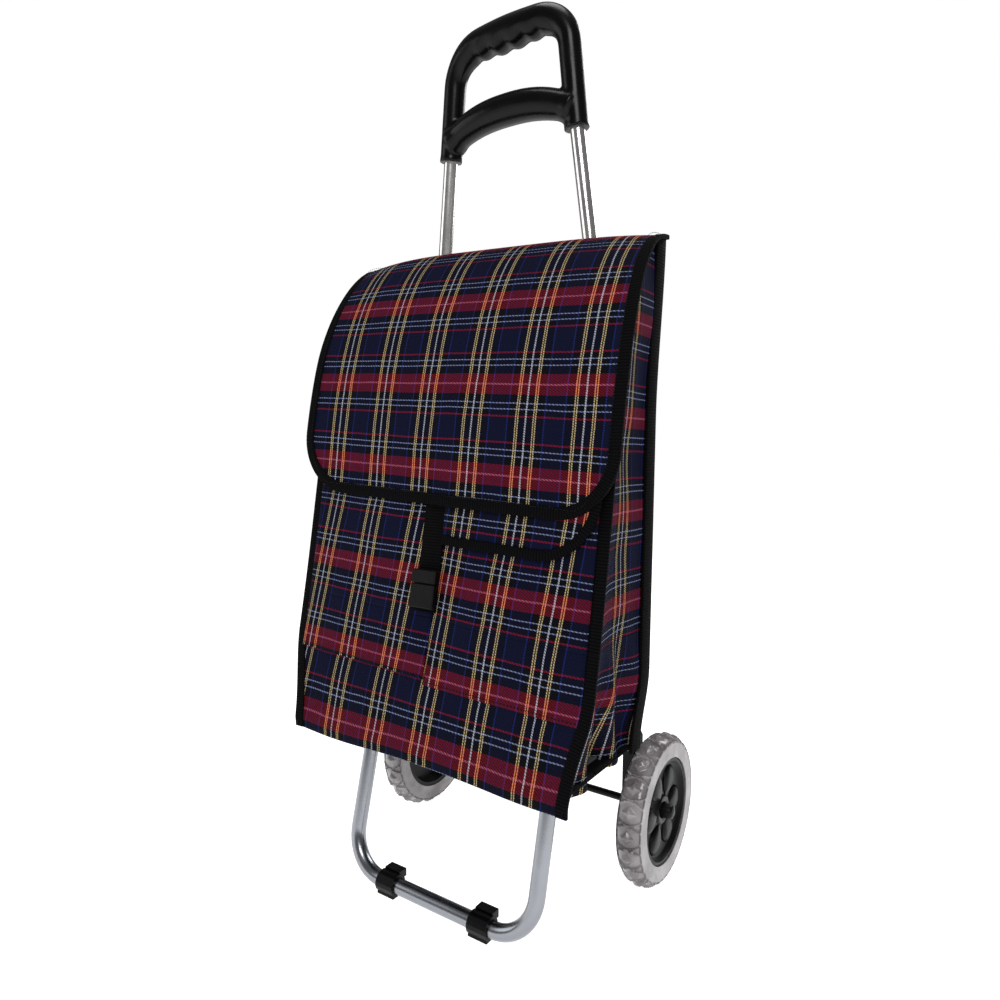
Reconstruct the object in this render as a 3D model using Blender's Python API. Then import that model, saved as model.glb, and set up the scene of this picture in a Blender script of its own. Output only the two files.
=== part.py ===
"""A two-wheeled shopping trolley: a steel tube frame, a soft bag with a lid flap, and a folding front stand.

Metres. X runs across the trolley, the bag faces -Y, Z is up and the floor is Z = 0. Depths are measured
from the axle: a point "0.05 forward" has Y = AXLE_Y - 0.05.
"""

import math

import bmesh
import bpy
from mathutils import Matrix, Vector

# Running gaps
GAP = 0.0004  # between fixed pieces that touch
RUN = 0.0005  # round a pivot, an axle or a sliding piece
BAG_CLEAR = 0.0010  # from the bag to what lies under and behind it

# Wheels and axle
WHEEL_RADIUS = 0.080
TYRE_WIDTH = 0.026
TYRE_INNER_RADIUS = 0.0555
WHEEL_OUTER_X = 0.170
HUB_DISH = 0.007
HUB_WEB = 0.006
HUB_BOSS_RADIUS = 0.013
HUB_BOSS_TAPER = 0.002
HUB_RIM_WALL = 0.005
HUB_LIP = 0.001
TYRE_SHOULDER = 0.004
TYRE_CROWN_DROP = 0.002
TYRE_SIDE_DROP = 0.008
BUSH_RADIUS = 0.0085
AXLE_RADIUS = 0.004
AXLE_Y = 0.070
WHEEL_SIDE_GAP = 0.001
CAP_RADIUS = 0.0075
CAP_LENGTH = 0.006
CAP_END = 0.0016

# Frame tubes: a straight lower run, then the two converge towards the grip
TUBE_RADIUS = 0.0075
TUBE_LOW_X = 0.099
TUBE_BEND_Z = 0.622
TUBE_BEND_RADIUS = 0.25
TUBE_CONVERGE = 0.12
TUBE_FORWARD = 0.020
TUBE_FLOOR = 0.003  # of the bracket, under the tube
TUBE_LEAN = 0.0594
BRACE_HEIGHT = 0.020
BRACE_THICK = 0.0025
BRACE_ROUND = 0.0008
LOWER_BRACE_Z = 0.250
UPPER_BRACE_Z = 0.560
SCREW_RADIUS = 0.0035
SCREW_HEAD = 0.0025

# Grip
GRIP_RIM_Z = 0.780
GRIP_TOP_Z = 0.8905
GRIP_CORNER = 0.040
GRIP_LEG_RADIUS = 0.0120
GRIP_BAR_RADIUS = 0.0172
GRIP_SOCKET = 0.045
GRIP_SWELL_HEIGHT = 0.035
GRIP_SWELL_HALF = 0.1014
LOWER_BAR_Z = 0.8155
LOWER_BAR_RADIUS = 0.0145
LOWER_BAR_DROP = 0.012
LOWER_BAR_BOW = 0.006
LOWER_BAR_END = 0.92
LOWER_BAR_STEPS = 12

# Axle brackets
BRACKET_INNER_X = 0.0870
BRACKET_OUTER_X = 0.1360
BRACKET_RISE = 0.0050  # how far the bracket stands above the bag's base, behind the bag
BRACKET_ROUND = 0.0015
ARM_WALL = 0.0020
ARM_CHAMFER = 0.0030
LEG_HALF = 0.011  # half the depth of the leg that drops beside the wheel to the axle
LEG_WIDTH = 0.014
BLOCK_TOP_BACK = 0.010
CHEEK_WALL = 0.0055
PIVOT_RADIUS = 0.0030
PIVOT_HEAD = 2.2

# Front stand
STAND_RADIUS = 0.0080
STAND_HALF = 0.1130
STAND_FORWARD = 0.1815
STAND_KNEE_FORWARD = 0.1457
STAND_PIVOT_FORWARD = 0.0630
STAND_KNEE_RADIUS = 0.030
STAND_CORNER_RADIUS = 0.042
CLIP_WALL = 0.0030
CLIP_WIDTH = 0.022
CLIP_HALF = 0.0585
CLIP_LUG = 0.008
CLIP_FROM = -50
CLIP_SWEEP = 280
CLIP_STEPS = 13
CLIP_SOLE = 0.7
LUG_BACK = 0.3
LUG_UP = 0.4
LUG_INSET = 0.001

# Bag
PANEL = 0.0030
BAG_BOTTOM_Z = 0.1720
BAG_BEHIND_WHEEL = 0.0140  # from the front of the wheels back to the bag's back
BAG_BACK_FORWARD = WHEEL_RADIUS - BAG_BEHIND_WHEEL
BAG_FRONT_TOP_Z = 0.6150
BAG_BACK_TOP_Z = 0.6620
BAG_HALF = 0.1755
BAG_BASE_TUCK = 0.0135  # each side, from the front's width in to the base's
BAG_BACK_TUCK = 0.0055  # and in to the back's, low down
BAG_BASE_HALF = BAG_HALF - BAG_BASE_TUCK
BAG_BACK_HALF = BAG_HALF - BAG_BACK_TUCK
BAG_FLARE_Z = 0.2600
INSERT_INSET = 0.0060
INSERT_THICK = 0.0025
GUSSET_DROP = 0.0020
BACK_FLARE_Z = 0.500
# Side view of the front face, as (forward, height) control points of one cubic curve
BAG_FRONT = (
    (BAG_BACK_FORWARD + 0.1499, BAG_BOTTOM_Z), (BAG_BACK_FORWARD + 0.0904, 0.3820),
    (BAG_BACK_FORWARD + 0.0978, 0.6454), (BAG_BACK_FORWARD, BAG_BACK_TOP_Z),
)

# Front pockets
POCKET_MARGIN = 0.0075  # from the bag's widest edge to the pocket's
POCKET_HALF = BAG_HALF - POCKET_MARGIN
POCKET_BOTTOM_Z = 0.2430
POCKET_TOP_Z = 0.4200
POCKET_SEAM_X = 0.0030
POCKET_PANEL = 0.0022
POCKET_FLAP_DROP = 0.3780
POCKET_FLAP_TOP_Z = 0.4400
POCKET_FLAP_CORNER = 0.050

# Lid flap, as (forward, height) control points of one cubic curve in side view
FLAP_LINE = (
    (BAG_BACK_FORWARD + 0.0012, 0.6730), (BAG_BACK_FORWARD + 0.0590, 0.6680),
    (BAG_BACK_FORWARD + 0.1000, 0.5750), (BAG_BACK_FORWARD + 0.1140, 0.4080),
)
FLAP_OVER_TOP = 0.0055  # how far the flap overhangs the bag each side, at the hinge
FLAP_OVER = 0.0105  # and lower down
FLAP_HALF_TOP = BAG_HALF + FLAP_OVER_TOP
FLAP_HALF = BAG_HALF + FLAP_OVER
FLAP_THICK = 0.0025
FLAP_CORNER = 0.060
FLAP_RATE = 3 * math.dist(FLAP_LINE[2], FLAP_LINE[3])  # length per unit of the cubic's parameter, at the hem
FLAP_SPREAD = 0.6
HEM_DROP = 0.0012
BINDING_RADIUS = 0.0030
BINDING_CLEAR = 0.0025

# Strap and buckle
WEB_WIDTH = 0.025
WEB_THICK = 0.0018
STRAP_X = -0.0050
STRAP_TOP_Z = 0.4200
BUCKLE_SPLIT_Z = 0.3320
BUCKLE_WIDTH = 0.029
BUCKLE_THICK = 0.0085
BUCKLE_WALL = 0.0020
BUCKLE_ROUND = 0.0010
FEMALE_LENGTH = 0.0235
MALE_LENGTH = 0.0130
PRONG_LENGTH = 0.0160
PRONG_WIDTH = 0.0040
PRONG_CLEAR = 0.0010
PRONG_ROOT = 0.0030
TONGUE_WIDTH = 0.0050
STRAP_TUCK = 0.0040
LOOP_HEIGHT = 0.025
LOOP_LOW_Z = 0.330
LOOP_HIGH_Z = 0.600

# Facets
TUBE_SIDES = 12
TYRE_STEPS = 48
BEND_STEPS = 6
SHEET_ROWS = 12
ROUND_STEPS = 20
BUSH_STEPS = 24
CORD_SIDES = 8
CORD_STEPS = 12
CORNER_STEPS = 10
GRIP_STEPS = 8
SHARP_ANGLE = math.radians(35)
BEVEL_ANGLE = math.radians(40)
HALVINGS = 40
MERGE = 1e-6
FRONT_GRID = (16, 6)  # rows up and columns across a panel
BACK_GRID = (8, 4)
GUSSET_GRID = (14, 4)
BASE_GRID = (3, 4)
POCKET_GRID = (10, 4)
POCKET_FLAP_GRID = (4, 12)
FLAP_GRID = (16, 14)
STRAP_GRID = (6, 2)
TAIL_GRID = (3, 2)
FLAP_CORNER_TURN = math.radians(80)
CUT_PAST = 0.03  # how far a cutter runs past the face that it opens

WHEEL_Z = WHEEL_RADIUS
BAG_BACK_Y = AXLE_Y - BAG_BACK_FORWARD
WHEEL_INNER_X = WHEEL_OUTER_X - TYRE_WIDTH
CAP_OUTER_X = WHEEL_OUTER_X + WHEEL_SIDE_GAP + CAP_LENGTH
STAND_BAR_Z = STAND_RADIUS + CLIP_WALL
STAND_RUN_Z = BAG_BOTTOM_Z - STAND_RADIUS - BAG_CLEAR
STAND_PIVOT = Vector((0.0, AXLE_Y - STAND_PIVOT_FORWARD, STAND_RUN_Z))
BRACKET_LOW_Z = STAND_RUN_Z - STAND_RADIUS - ARM_WALL
BRACKET_TOP_Z = BAG_BOTTOM_Z + BRACKET_RISE
TUBE_FOOT_Z = BRACKET_LOW_Z + TUBE_FLOOR
FLAP_HINGE = Vector((0.0, AXLE_Y - FLAP_LINE[0][0], FLAP_LINE[0][1]))


def clear_scene():
    for obj in list(bpy.data.objects):
        bpy.data.objects.remove(obj, do_unlink=True)


def material(name, color, roughness, metallic=0.0):
    made = bpy.data.materials.new(name)
    made.use_nodes = True
    shader = made.node_tree.nodes["Principled BSDF"]
    shader.inputs["Base Color"].default_value = (*color, 1.0)
    shader.inputs["Roughness"].default_value = roughness
    shader.inputs["Metallic"].default_value = metallic
    return made


def pivot_empty(name, at):
    """An empty on a joint's axis. The pieces that turn on it are its children."""
    empty = bpy.data.objects.new(name, None)
    empty.location = at
    bpy.context.scene.collection.objects.link(empty)
    return empty


def place(obj, finish, parent=None):
    """Link a piece and give it its finish. Under a parent, its points count from the parent's place."""
    bpy.context.scene.collection.objects.link(obj)
    obj.data.materials.append(finish)
    obj.parent = parent
    return obj


def solid(name, bm, finish, parent=None, smooth=True):
    """Turn a bmesh in world coordinates into a closed piece whose origin is its parent's."""
    bmesh.ops.recalc_face_normals(bm, faces=bm.faces)
    if parent:
        bmesh.ops.translate(bm, verts=bm.verts, vec=-parent.location)
    mesh = bpy.data.meshes.new(name)
    bm.to_mesh(mesh)
    bm.free()
    if smooth:
        mesh.shade_smooth()
        mesh.set_sharp_from_angle(angle=SHARP_ANGLE)
    return place(bpy.data.objects.new(name, mesh), finish, parent)


def cutter(name, bm):
    bmesh.ops.recalc_face_normals(bm, faces=bm.faces)
    mesh = bpy.data.meshes.new(name)
    bm.to_mesh(mesh)
    bm.free()
    obj = bpy.data.objects.new(name, mesh)
    bpy.context.scene.collection.objects.link(obj)
    obj.hide_render = True
    obj.display_type = "WIRE"
    return obj


def cut(obj, *cutters):
    for number, tool in enumerate(cutters):
        modifier = obj.modifiers.new(f"cut {number}", "BOOLEAN")
        modifier.operation = "DIFFERENCE"
        modifier.solver = "EXACT"
        modifier.object = tool


def round_edges(obj, width, segments=1):
    modifier = obj.modifiers.new("round", "BEVEL")
    modifier.width = width
    modifier.segments = segments
    modifier.limit_method = "ANGLE"
    modifier.angle_limit = BEVEL_ANGLE


def box(low, high):
    bm = bmesh.new()
    bmesh.ops.create_cube(bm, size=1.0)
    low, high = Vector(low), Vector(high)
    bmesh.ops.scale(bm, verts=bm.verts, vec=high - low)
    bmesh.ops.translate(bm, verts=bm.verts, vec=(low + high) / 2)
    return bm


def rod(start, end, radius, sides=TUBE_SIDES):
    """A straight round bar between two points."""
    bm = bmesh.new()
    start, end = Vector(start), Vector(end)
    along = end - start
    turn = Vector((0, 0, 1)).rotation_difference(along).to_matrix().to_4x4()
    bmesh.ops.create_cone(
        bm,
        cap_ends=True,
        segments=sides,
        radius1=radius,
        radius2=radius,
        depth=along.length,
        matrix=Matrix.Translation((start + end) / 2) @ turn,
    )
    return bm


def turned_ring(profile, centre, steps):
    """Turn a closed profile of (x, radius) points about the X line through centre."""
    bm = bmesh.new()
    rings = []
    for step in range(steps):
        angle = 2 * math.pi * step / steps
        across = Vector((0, math.cos(angle), math.sin(angle)))
        rings.append([bm.verts.new(centre + Vector((x, 0, 0)) + across * r) for x, r in profile])
    for step in range(steps):
        here, after = rings[step], rings[(step + 1) % steps]
        for i in range(len(profile)):
            j = (i + 1) % len(profile)
            bm.faces.new((here[i], here[j], after[j], after[i]))
    return bm


def extruded(outline, low_x, high_x):
    """A prism along X from an outline of (y, z) points."""
    bm = bmesh.new()
    face = bm.faces.new([bm.verts.new((low_x, y, z)) for y, z in outline])
    grown = bmesh.ops.extrude_face_region(bm, geom=[face])["geom"]
    moved = [v for v in grown if isinstance(v, bmesh.types.BMVert)]
    bmesh.ops.translate(bm, verts=moved, vec=(high_x - low_x, 0, 0))
    return bm


def sheet(outer, inner, rows=SHEET_ROWS, columns=4):
    """A closed panel between two surfaces, each a function of (across, up) from 0 to 1."""
    bm = bmesh.new()
    skins = []
    for surface in (outer, inner):
        grid = []
        for row in range(rows + 1):
            up = row / rows
            grid.append([bm.verts.new(surface(col / columns, up)) for col in range(columns + 1)])
        skins.append(grid)
    for grid in skins:
        for row in range(rows):
            for col in range(columns):
                corners = (grid[row][col], grid[row][col + 1], grid[row + 1][col + 1], grid[row + 1][col])
                bm.faces.new(corners)
    rim = [(0, col) for col in range(columns)] + [(row, columns) for row in range(rows)]
    rim += [(rows, col) for col in range(columns, 0, -1)] + [(row, 0) for row in range(rows, 0, -1)]
    for k, (row, col) in enumerate(rim):
        next_row, next_col = rim[(k + 1) % len(rim)]
        edge = (skins[0][row][col], skins[0][next_row][next_col])
        bm.faces.new((*edge, skins[1][next_row][next_col], skins[1][row][col]))
    return bm


def filleted(corners, radii, steps=BEND_STEPS):
    """The points of a bent path: straight between corners, an arc of the given radius at each."""
    points = [corners[0]]
    for before, corner, after, radius in zip(corners, corners[1:], corners[2:], radii):
        arrive = (before - corner).normalized()
        leave = (after - corner).normalized()
        half = arrive.angle(leave) / 2
        reach = radius / math.tan(half)
        start, end = corner + arrive * reach, corner + leave * reach
        centre = corner + (arrive + leave).normalized() * (radius / math.sin(half))
        first, last = start - centre, end - centre
        sweep = first.angle(last)
        for step in range(steps + 1):
            share = step / steps
            mixed = first * math.sin((1 - share) * sweep) + last * math.sin(share * sweep)
            points.append(centre + mixed / math.sin(sweep))
    points.append(corners[-1])
    return points


def tube(name, points, radius, finish, parent=None, swell=None, sides=TUBE_SIDES):
    """A solid tube along points. swell gives each point's radius as a share of radius."""
    curve = bpy.data.curves.new(name, "CURVE")
    curve.dimensions = "3D"
    curve.bevel_depth = radius
    curve.bevel_resolution = (sides - 4) // 2
    curve.use_fill_caps = True
    curve.twist_mode = "MINIMUM"
    spline = curve.splines.new("POLY")
    spline.points.add(len(points) - 1)
    offset = parent.location if parent else Vector()
    for k, at in enumerate(points):
        spline.points[k].co = (*(at - offset), 1.0)
        spline.points[k].radius = swell[k] if swell else 1.0
    curve.resolution_u = 1
    return place(bpy.data.objects.new(name, curve), finish, parent)


def as_mesh(obj):
    """Swap a tube's curve for its mesh, so that a Boolean can cut it."""
    graph = bpy.context.evaluated_depsgraph_get()
    mesh = bpy.data.meshes.new_from_object(obj.evaluated_get(graph))
    bm = bmesh.new()
    bm.from_mesh(mesh)
    bmesh.ops.remove_doubles(bm, verts=bm.verts, dist=MERGE)
    bmesh.ops.recalc_face_normals(bm, faces=bm.faces)
    bm.to_mesh(mesh)
    bm.free()
    name, finish, parent = obj.name, obj.active_material, obj.parent
    bpy.data.objects.remove(obj, do_unlink=True)
    mesh.materials.clear()
    mesh.shade_smooth()
    mesh.set_sharp_from_angle(angle=SHARP_ANGLE)
    return place(bpy.data.objects.new(name, mesh), finish, parent)


def mix(a, b, share):
    return a + (b - a) * share


def ease(low, high, value):
    share = min(max((value - low) / (high - low), 0.0), 1.0)
    return share * share * (3 - 2 * share)


def cubic(curve, t):
    """(forward, height) at t on a cubic curve."""
    weights = ((1 - t) ** 3, 3 * t * (1 - t) ** 2, 3 * t * t * (1 - t), t**3)
    forward = sum(w * p[0] for w, p in zip(weights, curve))
    height = sum(w * p[1] for w, p in zip(weights, curve))
    return forward, height


def forward_at(curve, height):
    """How far forward a curve is at a height, whichever way the curve climbs."""
    low, high = (0.0, 1.0) if curve[0][1] < curve[3][1] else (1.0, 0.0)
    for _ in range(HALVINGS):
        middle = (low + high) / 2
        if cubic(curve, middle)[1] < height:
            low = middle
        else:
            high = middle
    return cubic(curve, low)[0]


def bag_front_y(z):
    return AXLE_Y - forward_at(BAG_FRONT, z)


def front_slope(z):
    """The angle by which the bag's front face leans back at a height."""
    step = 0.01
    return math.atan2(bag_front_y(z + step) - bag_front_y(z - step), 2 * step)


def front_half(z):
    return mix(BAG_BASE_HALF, BAG_HALF, ease(BAG_BOTTOM_Z, BAG_FLARE_Z, z))


def back_half(z):
    low = mix(BAG_BASE_HALF, BAG_BACK_HALF, ease(BAG_BOTTOM_Z, BAG_FLARE_Z, z))
    return mix(low, BAG_HALF, ease(BACK_FLARE_Z, BAG_BACK_TOP_Z, z))


def tube_y(z):
    """Where the frame tubes' centre line is at a height."""
    return AXLE_Y - TUBE_FORWARD - TUBE_LEAN * (z - WHEEL_Z)


def tube_x(z):
    return TUBE_LOW_X - max(z - TUBE_BEND_Z, 0.0) * TUBE_CONVERGE


def tube_point(side, z):
    return Vector((side * tube_x(z), tube_y(z), z))


SIDES = (("left", -1), ("right", 1))


def make_frame(steel, plastic):
    top = GRIP_RIM_Z + GRIP_SOCKET - 2 * RUN
    for word, side in SIDES:
        corners = [tube_point(side, z) for z in (TUBE_FOOT_Z, TUBE_BEND_Z, top)]
        points = filleted(corners, [TUBE_BEND_RADIUS])
        tube(f"frame_tube_{word}", points, TUBE_RADIUS, steel)
    for word, z in (("lower", LOWER_BRACE_Z), ("upper", UPPER_BRACE_Z)):
        make_brace(f"{word}_brace", z, steel)
    make_axle(steel)
    for word, side in SIDES:
        make_bracket(word, side, plastic)
        make_cap(word, side, steel)


def make_brace(name, z, steel):
    """A flat strip across the backs of the two tubes, with a screw into each."""
    rear = tube_y(z - BRACE_HEIGHT / 2) + TUBE_RADIUS + GAP
    half = tube_x(z) + TUBE_RADIUS
    low = (-half, rear, z - BRACE_HEIGHT / 2)
    high = (half, rear + BRACE_THICK, z + BRACE_HEIGHT / 2)
    obj = solid(name, box(low, high), steel, smooth=False)
    round_edges(obj, BRACE_ROUND)
    for word, side in SIDES:
        x = side * tube_x(z)
        start = rear + BRACE_THICK + GAP
        head = rod((x, start, z), (x, start + SCREW_HEAD, z), SCREW_RADIUS)
        solid(f"{name}_screw_{word}", head, steel)


def make_axle(steel):
    reach = CAP_OUTER_X - CAP_END - GAP
    solid("axle", rod((-reach, AXLE_Y, WHEEL_Z), (reach, AXLE_Y, WHEEL_Z), AXLE_RADIUS), steel)


def make_cap(word, side, steel):
    """The push-on cap that keeps a wheel on the axle: a ring with a closed outer end."""
    inner = WHEEL_OUTER_X - HUB_DISH + WHEEL_SIDE_GAP
    start = Vector((side * inner, AXLE_Y, WHEEL_Z))
    end = Vector((side * CAP_OUTER_X, AXLE_Y, WHEEL_Z))
    obj = solid(f"axle_cap_{word}", rod(start, end, CAP_RADIUS, ROUND_STEPS), steel)
    seat = side * (CAP_OUTER_X - CAP_END)
    bore = rod((0, AXLE_Y, WHEEL_Z), (seat, AXLE_Y, WHEEL_Z), AXLE_RADIUS + GAP)
    cut(obj, cutter(f"axle_cap_bore_{word}", bore))


def bracket_outline():
    """Side view: an arm forward to the stand's pivot, a block round the tube, and a leg down to the axle."""
    nose = STAND_PIVOT.y - STAND_RADIUS - BAG_CLEAR
    under_bag = BAG_BOTTOM_Z - BAG_CLEAR
    leg_front, leg_back = AXLE_Y - LEG_HALF, AXLE_Y + LEG_HALF
    toe = LEG_HALF / 2
    return [
        (nose, BRACKET_LOW_Z),
        (nose, under_bag - ARM_CHAMFER),
        (nose + ARM_CHAMFER, under_bag),
        (BAG_BACK_Y + BAG_CLEAR, under_bag),
        (BAG_BACK_Y + BAG_CLEAR + ARM_CHAMFER, BRACKET_TOP_Z),
        (AXLE_Y - BLOCK_TOP_BACK, BRACKET_TOP_Z),
        (leg_back, BRACKET_LOW_Z),
        (leg_back, WHEEL_Z),
        (AXLE_Y + toe, WHEEL_Z - LEG_HALF),
        (AXLE_Y - toe, WHEEL_Z - LEG_HALF),
        (leg_front, WHEEL_Z),
        (leg_front, BRACKET_LOW_Z),
    ]


def make_bracket(word, side, plastic):
    """The moulded foot that holds a frame tube, the axle and one leg of the stand between two cheeks."""
    xs = sorted((side * BRACKET_INNER_X, side * BRACKET_OUTER_X))
    obj = solid(f"axle_bracket_{word}", extruded(bracket_outline(), *xs), plastic, smooth=False)
    round_edges(obj, BRACKET_ROUND)
    slot = STAND_RADIUS + RUN
    cheek = STAND_HALF + slot + CHEEK_WALL
    slot_xs = sorted((side * (STAND_HALF - slot), side * (STAND_HALF + slot)))
    shave_xs = sorted((side * cheek, side * WHEEL_OUTER_X))
    sweep = math.sqrt(2) * STAND_RADIUS  # how far the square rear corner of the stand's arm swings
    front_y, back_y = STAND_PIVOT.y - CUT_PAST, STAND_PIVOT.y + sweep + 2 * RUN
    low_z, top_z = BRACKET_LOW_Z - CUT_PAST, BRACKET_TOP_Z + CUT_PAST
    slot_box = box((slot_xs[0], front_y, low_z), (slot_xs[1], back_y, top_z))
    shave_box = box((shave_xs[0], front_y, low_z), (shave_xs[1], back_y, top_z))
    leg_xs = sorted((0, side * (BRACKET_OUTER_X - LEG_WIDTH)))
    leg_low = (leg_xs[0], AXLE_Y - LEG_HALF - CUT_PAST, 0)
    leg_box = box(leg_low, (leg_xs[1], AXLE_Y + LEG_HALF + CUT_PAST, BRACKET_LOW_Z + BRACKET_ROUND))
    tube_bore = rod(tube_point(side, TUBE_FOOT_Z - GAP), tube_point(side, top_z), TUBE_RADIUS + GAP)
    axle_end = (side * WHEEL_OUTER_X, AXLE_Y, WHEEL_Z)
    axle_bore = rod((0, AXLE_Y, WHEEL_Z), axle_end, AXLE_RADIUS + GAP)
    pivot_end = (side * WHEEL_OUTER_X, STAND_PIVOT.y, STAND_PIVOT.z)
    pivot_bore = rod(STAND_PIVOT, pivot_end, PIVOT_RADIUS + GAP)
    cut(
        obj,
        cutter(f"tube_bore_{word}", tube_bore),
        cutter(f"axle_bore_{word}", axle_bore),
        cutter(f"stand_slot_{word}", slot_box),
        cutter(f"cheek_face_{word}", shave_box),
        cutter(f"leg_inner_face_{word}", leg_box),
        cutter(f"pivot_bore_{word}", pivot_bore),
    )
    make_pivot(word, side * (cheek + GAP), side * BRACKET_INNER_X, side, plastic)


def make_pivot(word, head, tail, side, finish):
    """The stand's pivot pin, with a round head outside the outer cheek."""
    profile = [
        (tail, 0.0),
        (tail, PIVOT_RADIUS),
        (head, PIVOT_RADIUS),
        (head, PIVOT_HEAD * PIVOT_RADIUS),
        (head + side * SCREW_HEAD, 2 * PIVOT_RADIUS),
        (head + side * SCREW_HEAD, 0.0),
    ]
    bm = turned_ring(profile, Vector((0, STAND_PIVOT.y, STAND_PIVOT.z)), TUBE_SIDES)
    bmesh.ops.remove_doubles(bm, verts=bm.verts, dist=MERGE)
    bmesh.ops.dissolve_degenerate(bm, edges=bm.edges, dist=MERGE)
    drop_inner_faces(bm)
    solid(f"stand_pivot_{word}", bm, finish)


def drop_inner_faces(bm):
    """Remove the slivers that a turned profile leaves along its own axis."""
    slivers = [f for f in bm.faces if f.calc_area() < MERGE**2]
    bmesh.ops.delete(bm, geom=slivers, context="FACES")
    loose = [e for e in bm.edges if not e.link_faces]
    bmesh.ops.delete(bm, geom=loose, context="EDGES")


def make_grip(plastic):
    """A D-shaped loop whose two legs are sockets for the frame tubes, and a second bar across it."""
    top_x = tube_x(GRIP_TOP_Z)
    lean = Vector((0, tube_y(GRIP_TOP_Z), GRIP_TOP_Z))
    corners = [
        tube_point(-1, GRIP_RIM_Z),
        lean - Vector((top_x, 0, 0)),
        lean + Vector((top_x, 0, 0)),
        tube_point(1, GRIP_RIM_Z),
    ]
    points = []
    path = filleted(corners, [GRIP_CORNER, GRIP_CORNER], GRIP_STEPS)
    middle = len(path) // 2
    for k, at in enumerate(path):
        points.append(at)
        if k == middle - 1:
            points += [mix(at, path[k + 1], step / GRIP_STEPS) for step in range(1, GRIP_STEPS)]
    swell = [mix(1.0, GRIP_BAR_RADIUS / GRIP_LEG_RADIUS, ease(0.0, 1.0, bar_share(at))) for at in points]
    sockets = []
    for word, side in SIDES:
        low, high = tube_point(side, GRIP_RIM_Z - CUT_PAST), tube_point(side, GRIP_RIM_Z + GRIP_SOCKET)
        sockets.append(cutter(f"grip_socket_{word}", rod(low, high, TUBE_RADIUS + GAP)))
    loop = as_mesh(tube("grip_loop", points, GRIP_LEG_RADIUS, plastic, swell=swell))
    cut(loop, *sockets)
    clear = as_mesh(tube("grip_clearance", points, GRIP_LEG_RADIUS + GAP, plastic, swell=swell))
    clear.hide_render = True
    clear.display_type = "WIRE"
    make_lower_bar(plastic, clear)


def bar_share(at):
    """0 on the grip's legs and 1 at the middle of its top bar."""
    across = max(1 - abs(at.x) / GRIP_SWELL_HALF, 0.0)
    return across * ease(GRIP_TOP_Z - GRIP_SWELL_HEIGHT, GRIP_TOP_Z, at.z)


def make_lower_bar(plastic, clear):
    """The lower hand bar. It bows up and forward, and its ends saddle the grip's legs."""
    half = tube_x(LOWER_BAR_Z) - RUN
    points, swell = [], []
    for step in range(LOWER_BAR_STEPS + 1):
        share = 2 * step / LOWER_BAR_STEPS - 1
        arch = 1 - share * share
        z = LOWER_BAR_Z - LOWER_BAR_DROP * (1 - arch)
        forward = LOWER_BAR_BOW * arch
        points.append(Vector((share * half, tube_y(z) - forward, z)))
        swell.append(mix(LOWER_BAR_END, 1.0, arch))
    bar = as_mesh(tube("grip_bar", points, LOWER_BAR_RADIUS, plastic, swell=swell))
    cut(bar, clear)


def make_wheel(word, side, rubber, plastic, steel):
    """Tyre, hub and bush. They share an empty on the axle."""
    hub_empty = pivot_empty(f"wheel_{word}_axis", Vector((side * WHEEL_OUTER_X, AXLE_Y, WHEEL_Z)))
    centre = Vector((0, AXLE_Y, WHEEL_Z))
    low, high = side * WHEEL_INNER_X, side * WHEEL_OUTER_X
    shoulder = side * TYRE_SHOULDER
    tyre = [
        (low, TYRE_INNER_RADIUS),
        (low, WHEEL_RADIUS - TYRE_SIDE_DROP),
        (low + shoulder, WHEEL_RADIUS - TYRE_CROWN_DROP),
        (low + 2 * shoulder, WHEEL_RADIUS),
        (high - 2 * shoulder, WHEEL_RADIUS),
        (high - shoulder, WHEEL_RADIUS - TYRE_CROWN_DROP),
        (high, WHEEL_RADIUS - TYRE_SIDE_DROP),
        (high, TYRE_INNER_RADIUS),
    ]
    solid(f"tyre_{word}", turned_ring(tyre, centre, TYRE_STEPS), rubber, hub_empty)
    rim = TYRE_INNER_RADIUS - GAP
    face = high - side * HUB_DISH
    back = face - side * HUB_WEB
    lip = side * HUB_LIP
    rim_wall = rim - HUB_RIM_WALL
    bore = BUSH_RADIUS + GAP
    inner_boss = side * (BRACKET_OUTER_X + WHEEL_SIDE_GAP)
    hub = [
        (inner_boss, bore),
        (inner_boss, HUB_BOSS_RADIUS),
        (back, HUB_BOSS_RADIUS + HUB_BOSS_TAPER),
        (back, rim_wall),
        (low + lip, rim_wall + HUB_LIP),
        (low + lip, rim),
        (high - lip, rim),
        (high - lip, rim_wall + HUB_LIP),
        (face, rim_wall - HUB_BOSS_TAPER),
        (face, bore),
    ]
    solid(f"hub_{word}", turned_ring(hub, centre, TYRE_STEPS), plastic, hub_empty)
    bush = [
        (inner_boss, AXLE_RADIUS + RUN),
        (inner_boss, BUSH_RADIUS),
        (face, BUSH_RADIUS),
        (face, AXLE_RADIUS + RUN),
    ]
    solid(f"bush_{word}", turned_ring(bush, centre, BUSH_STEPS), steel, hub_empty)


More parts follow.
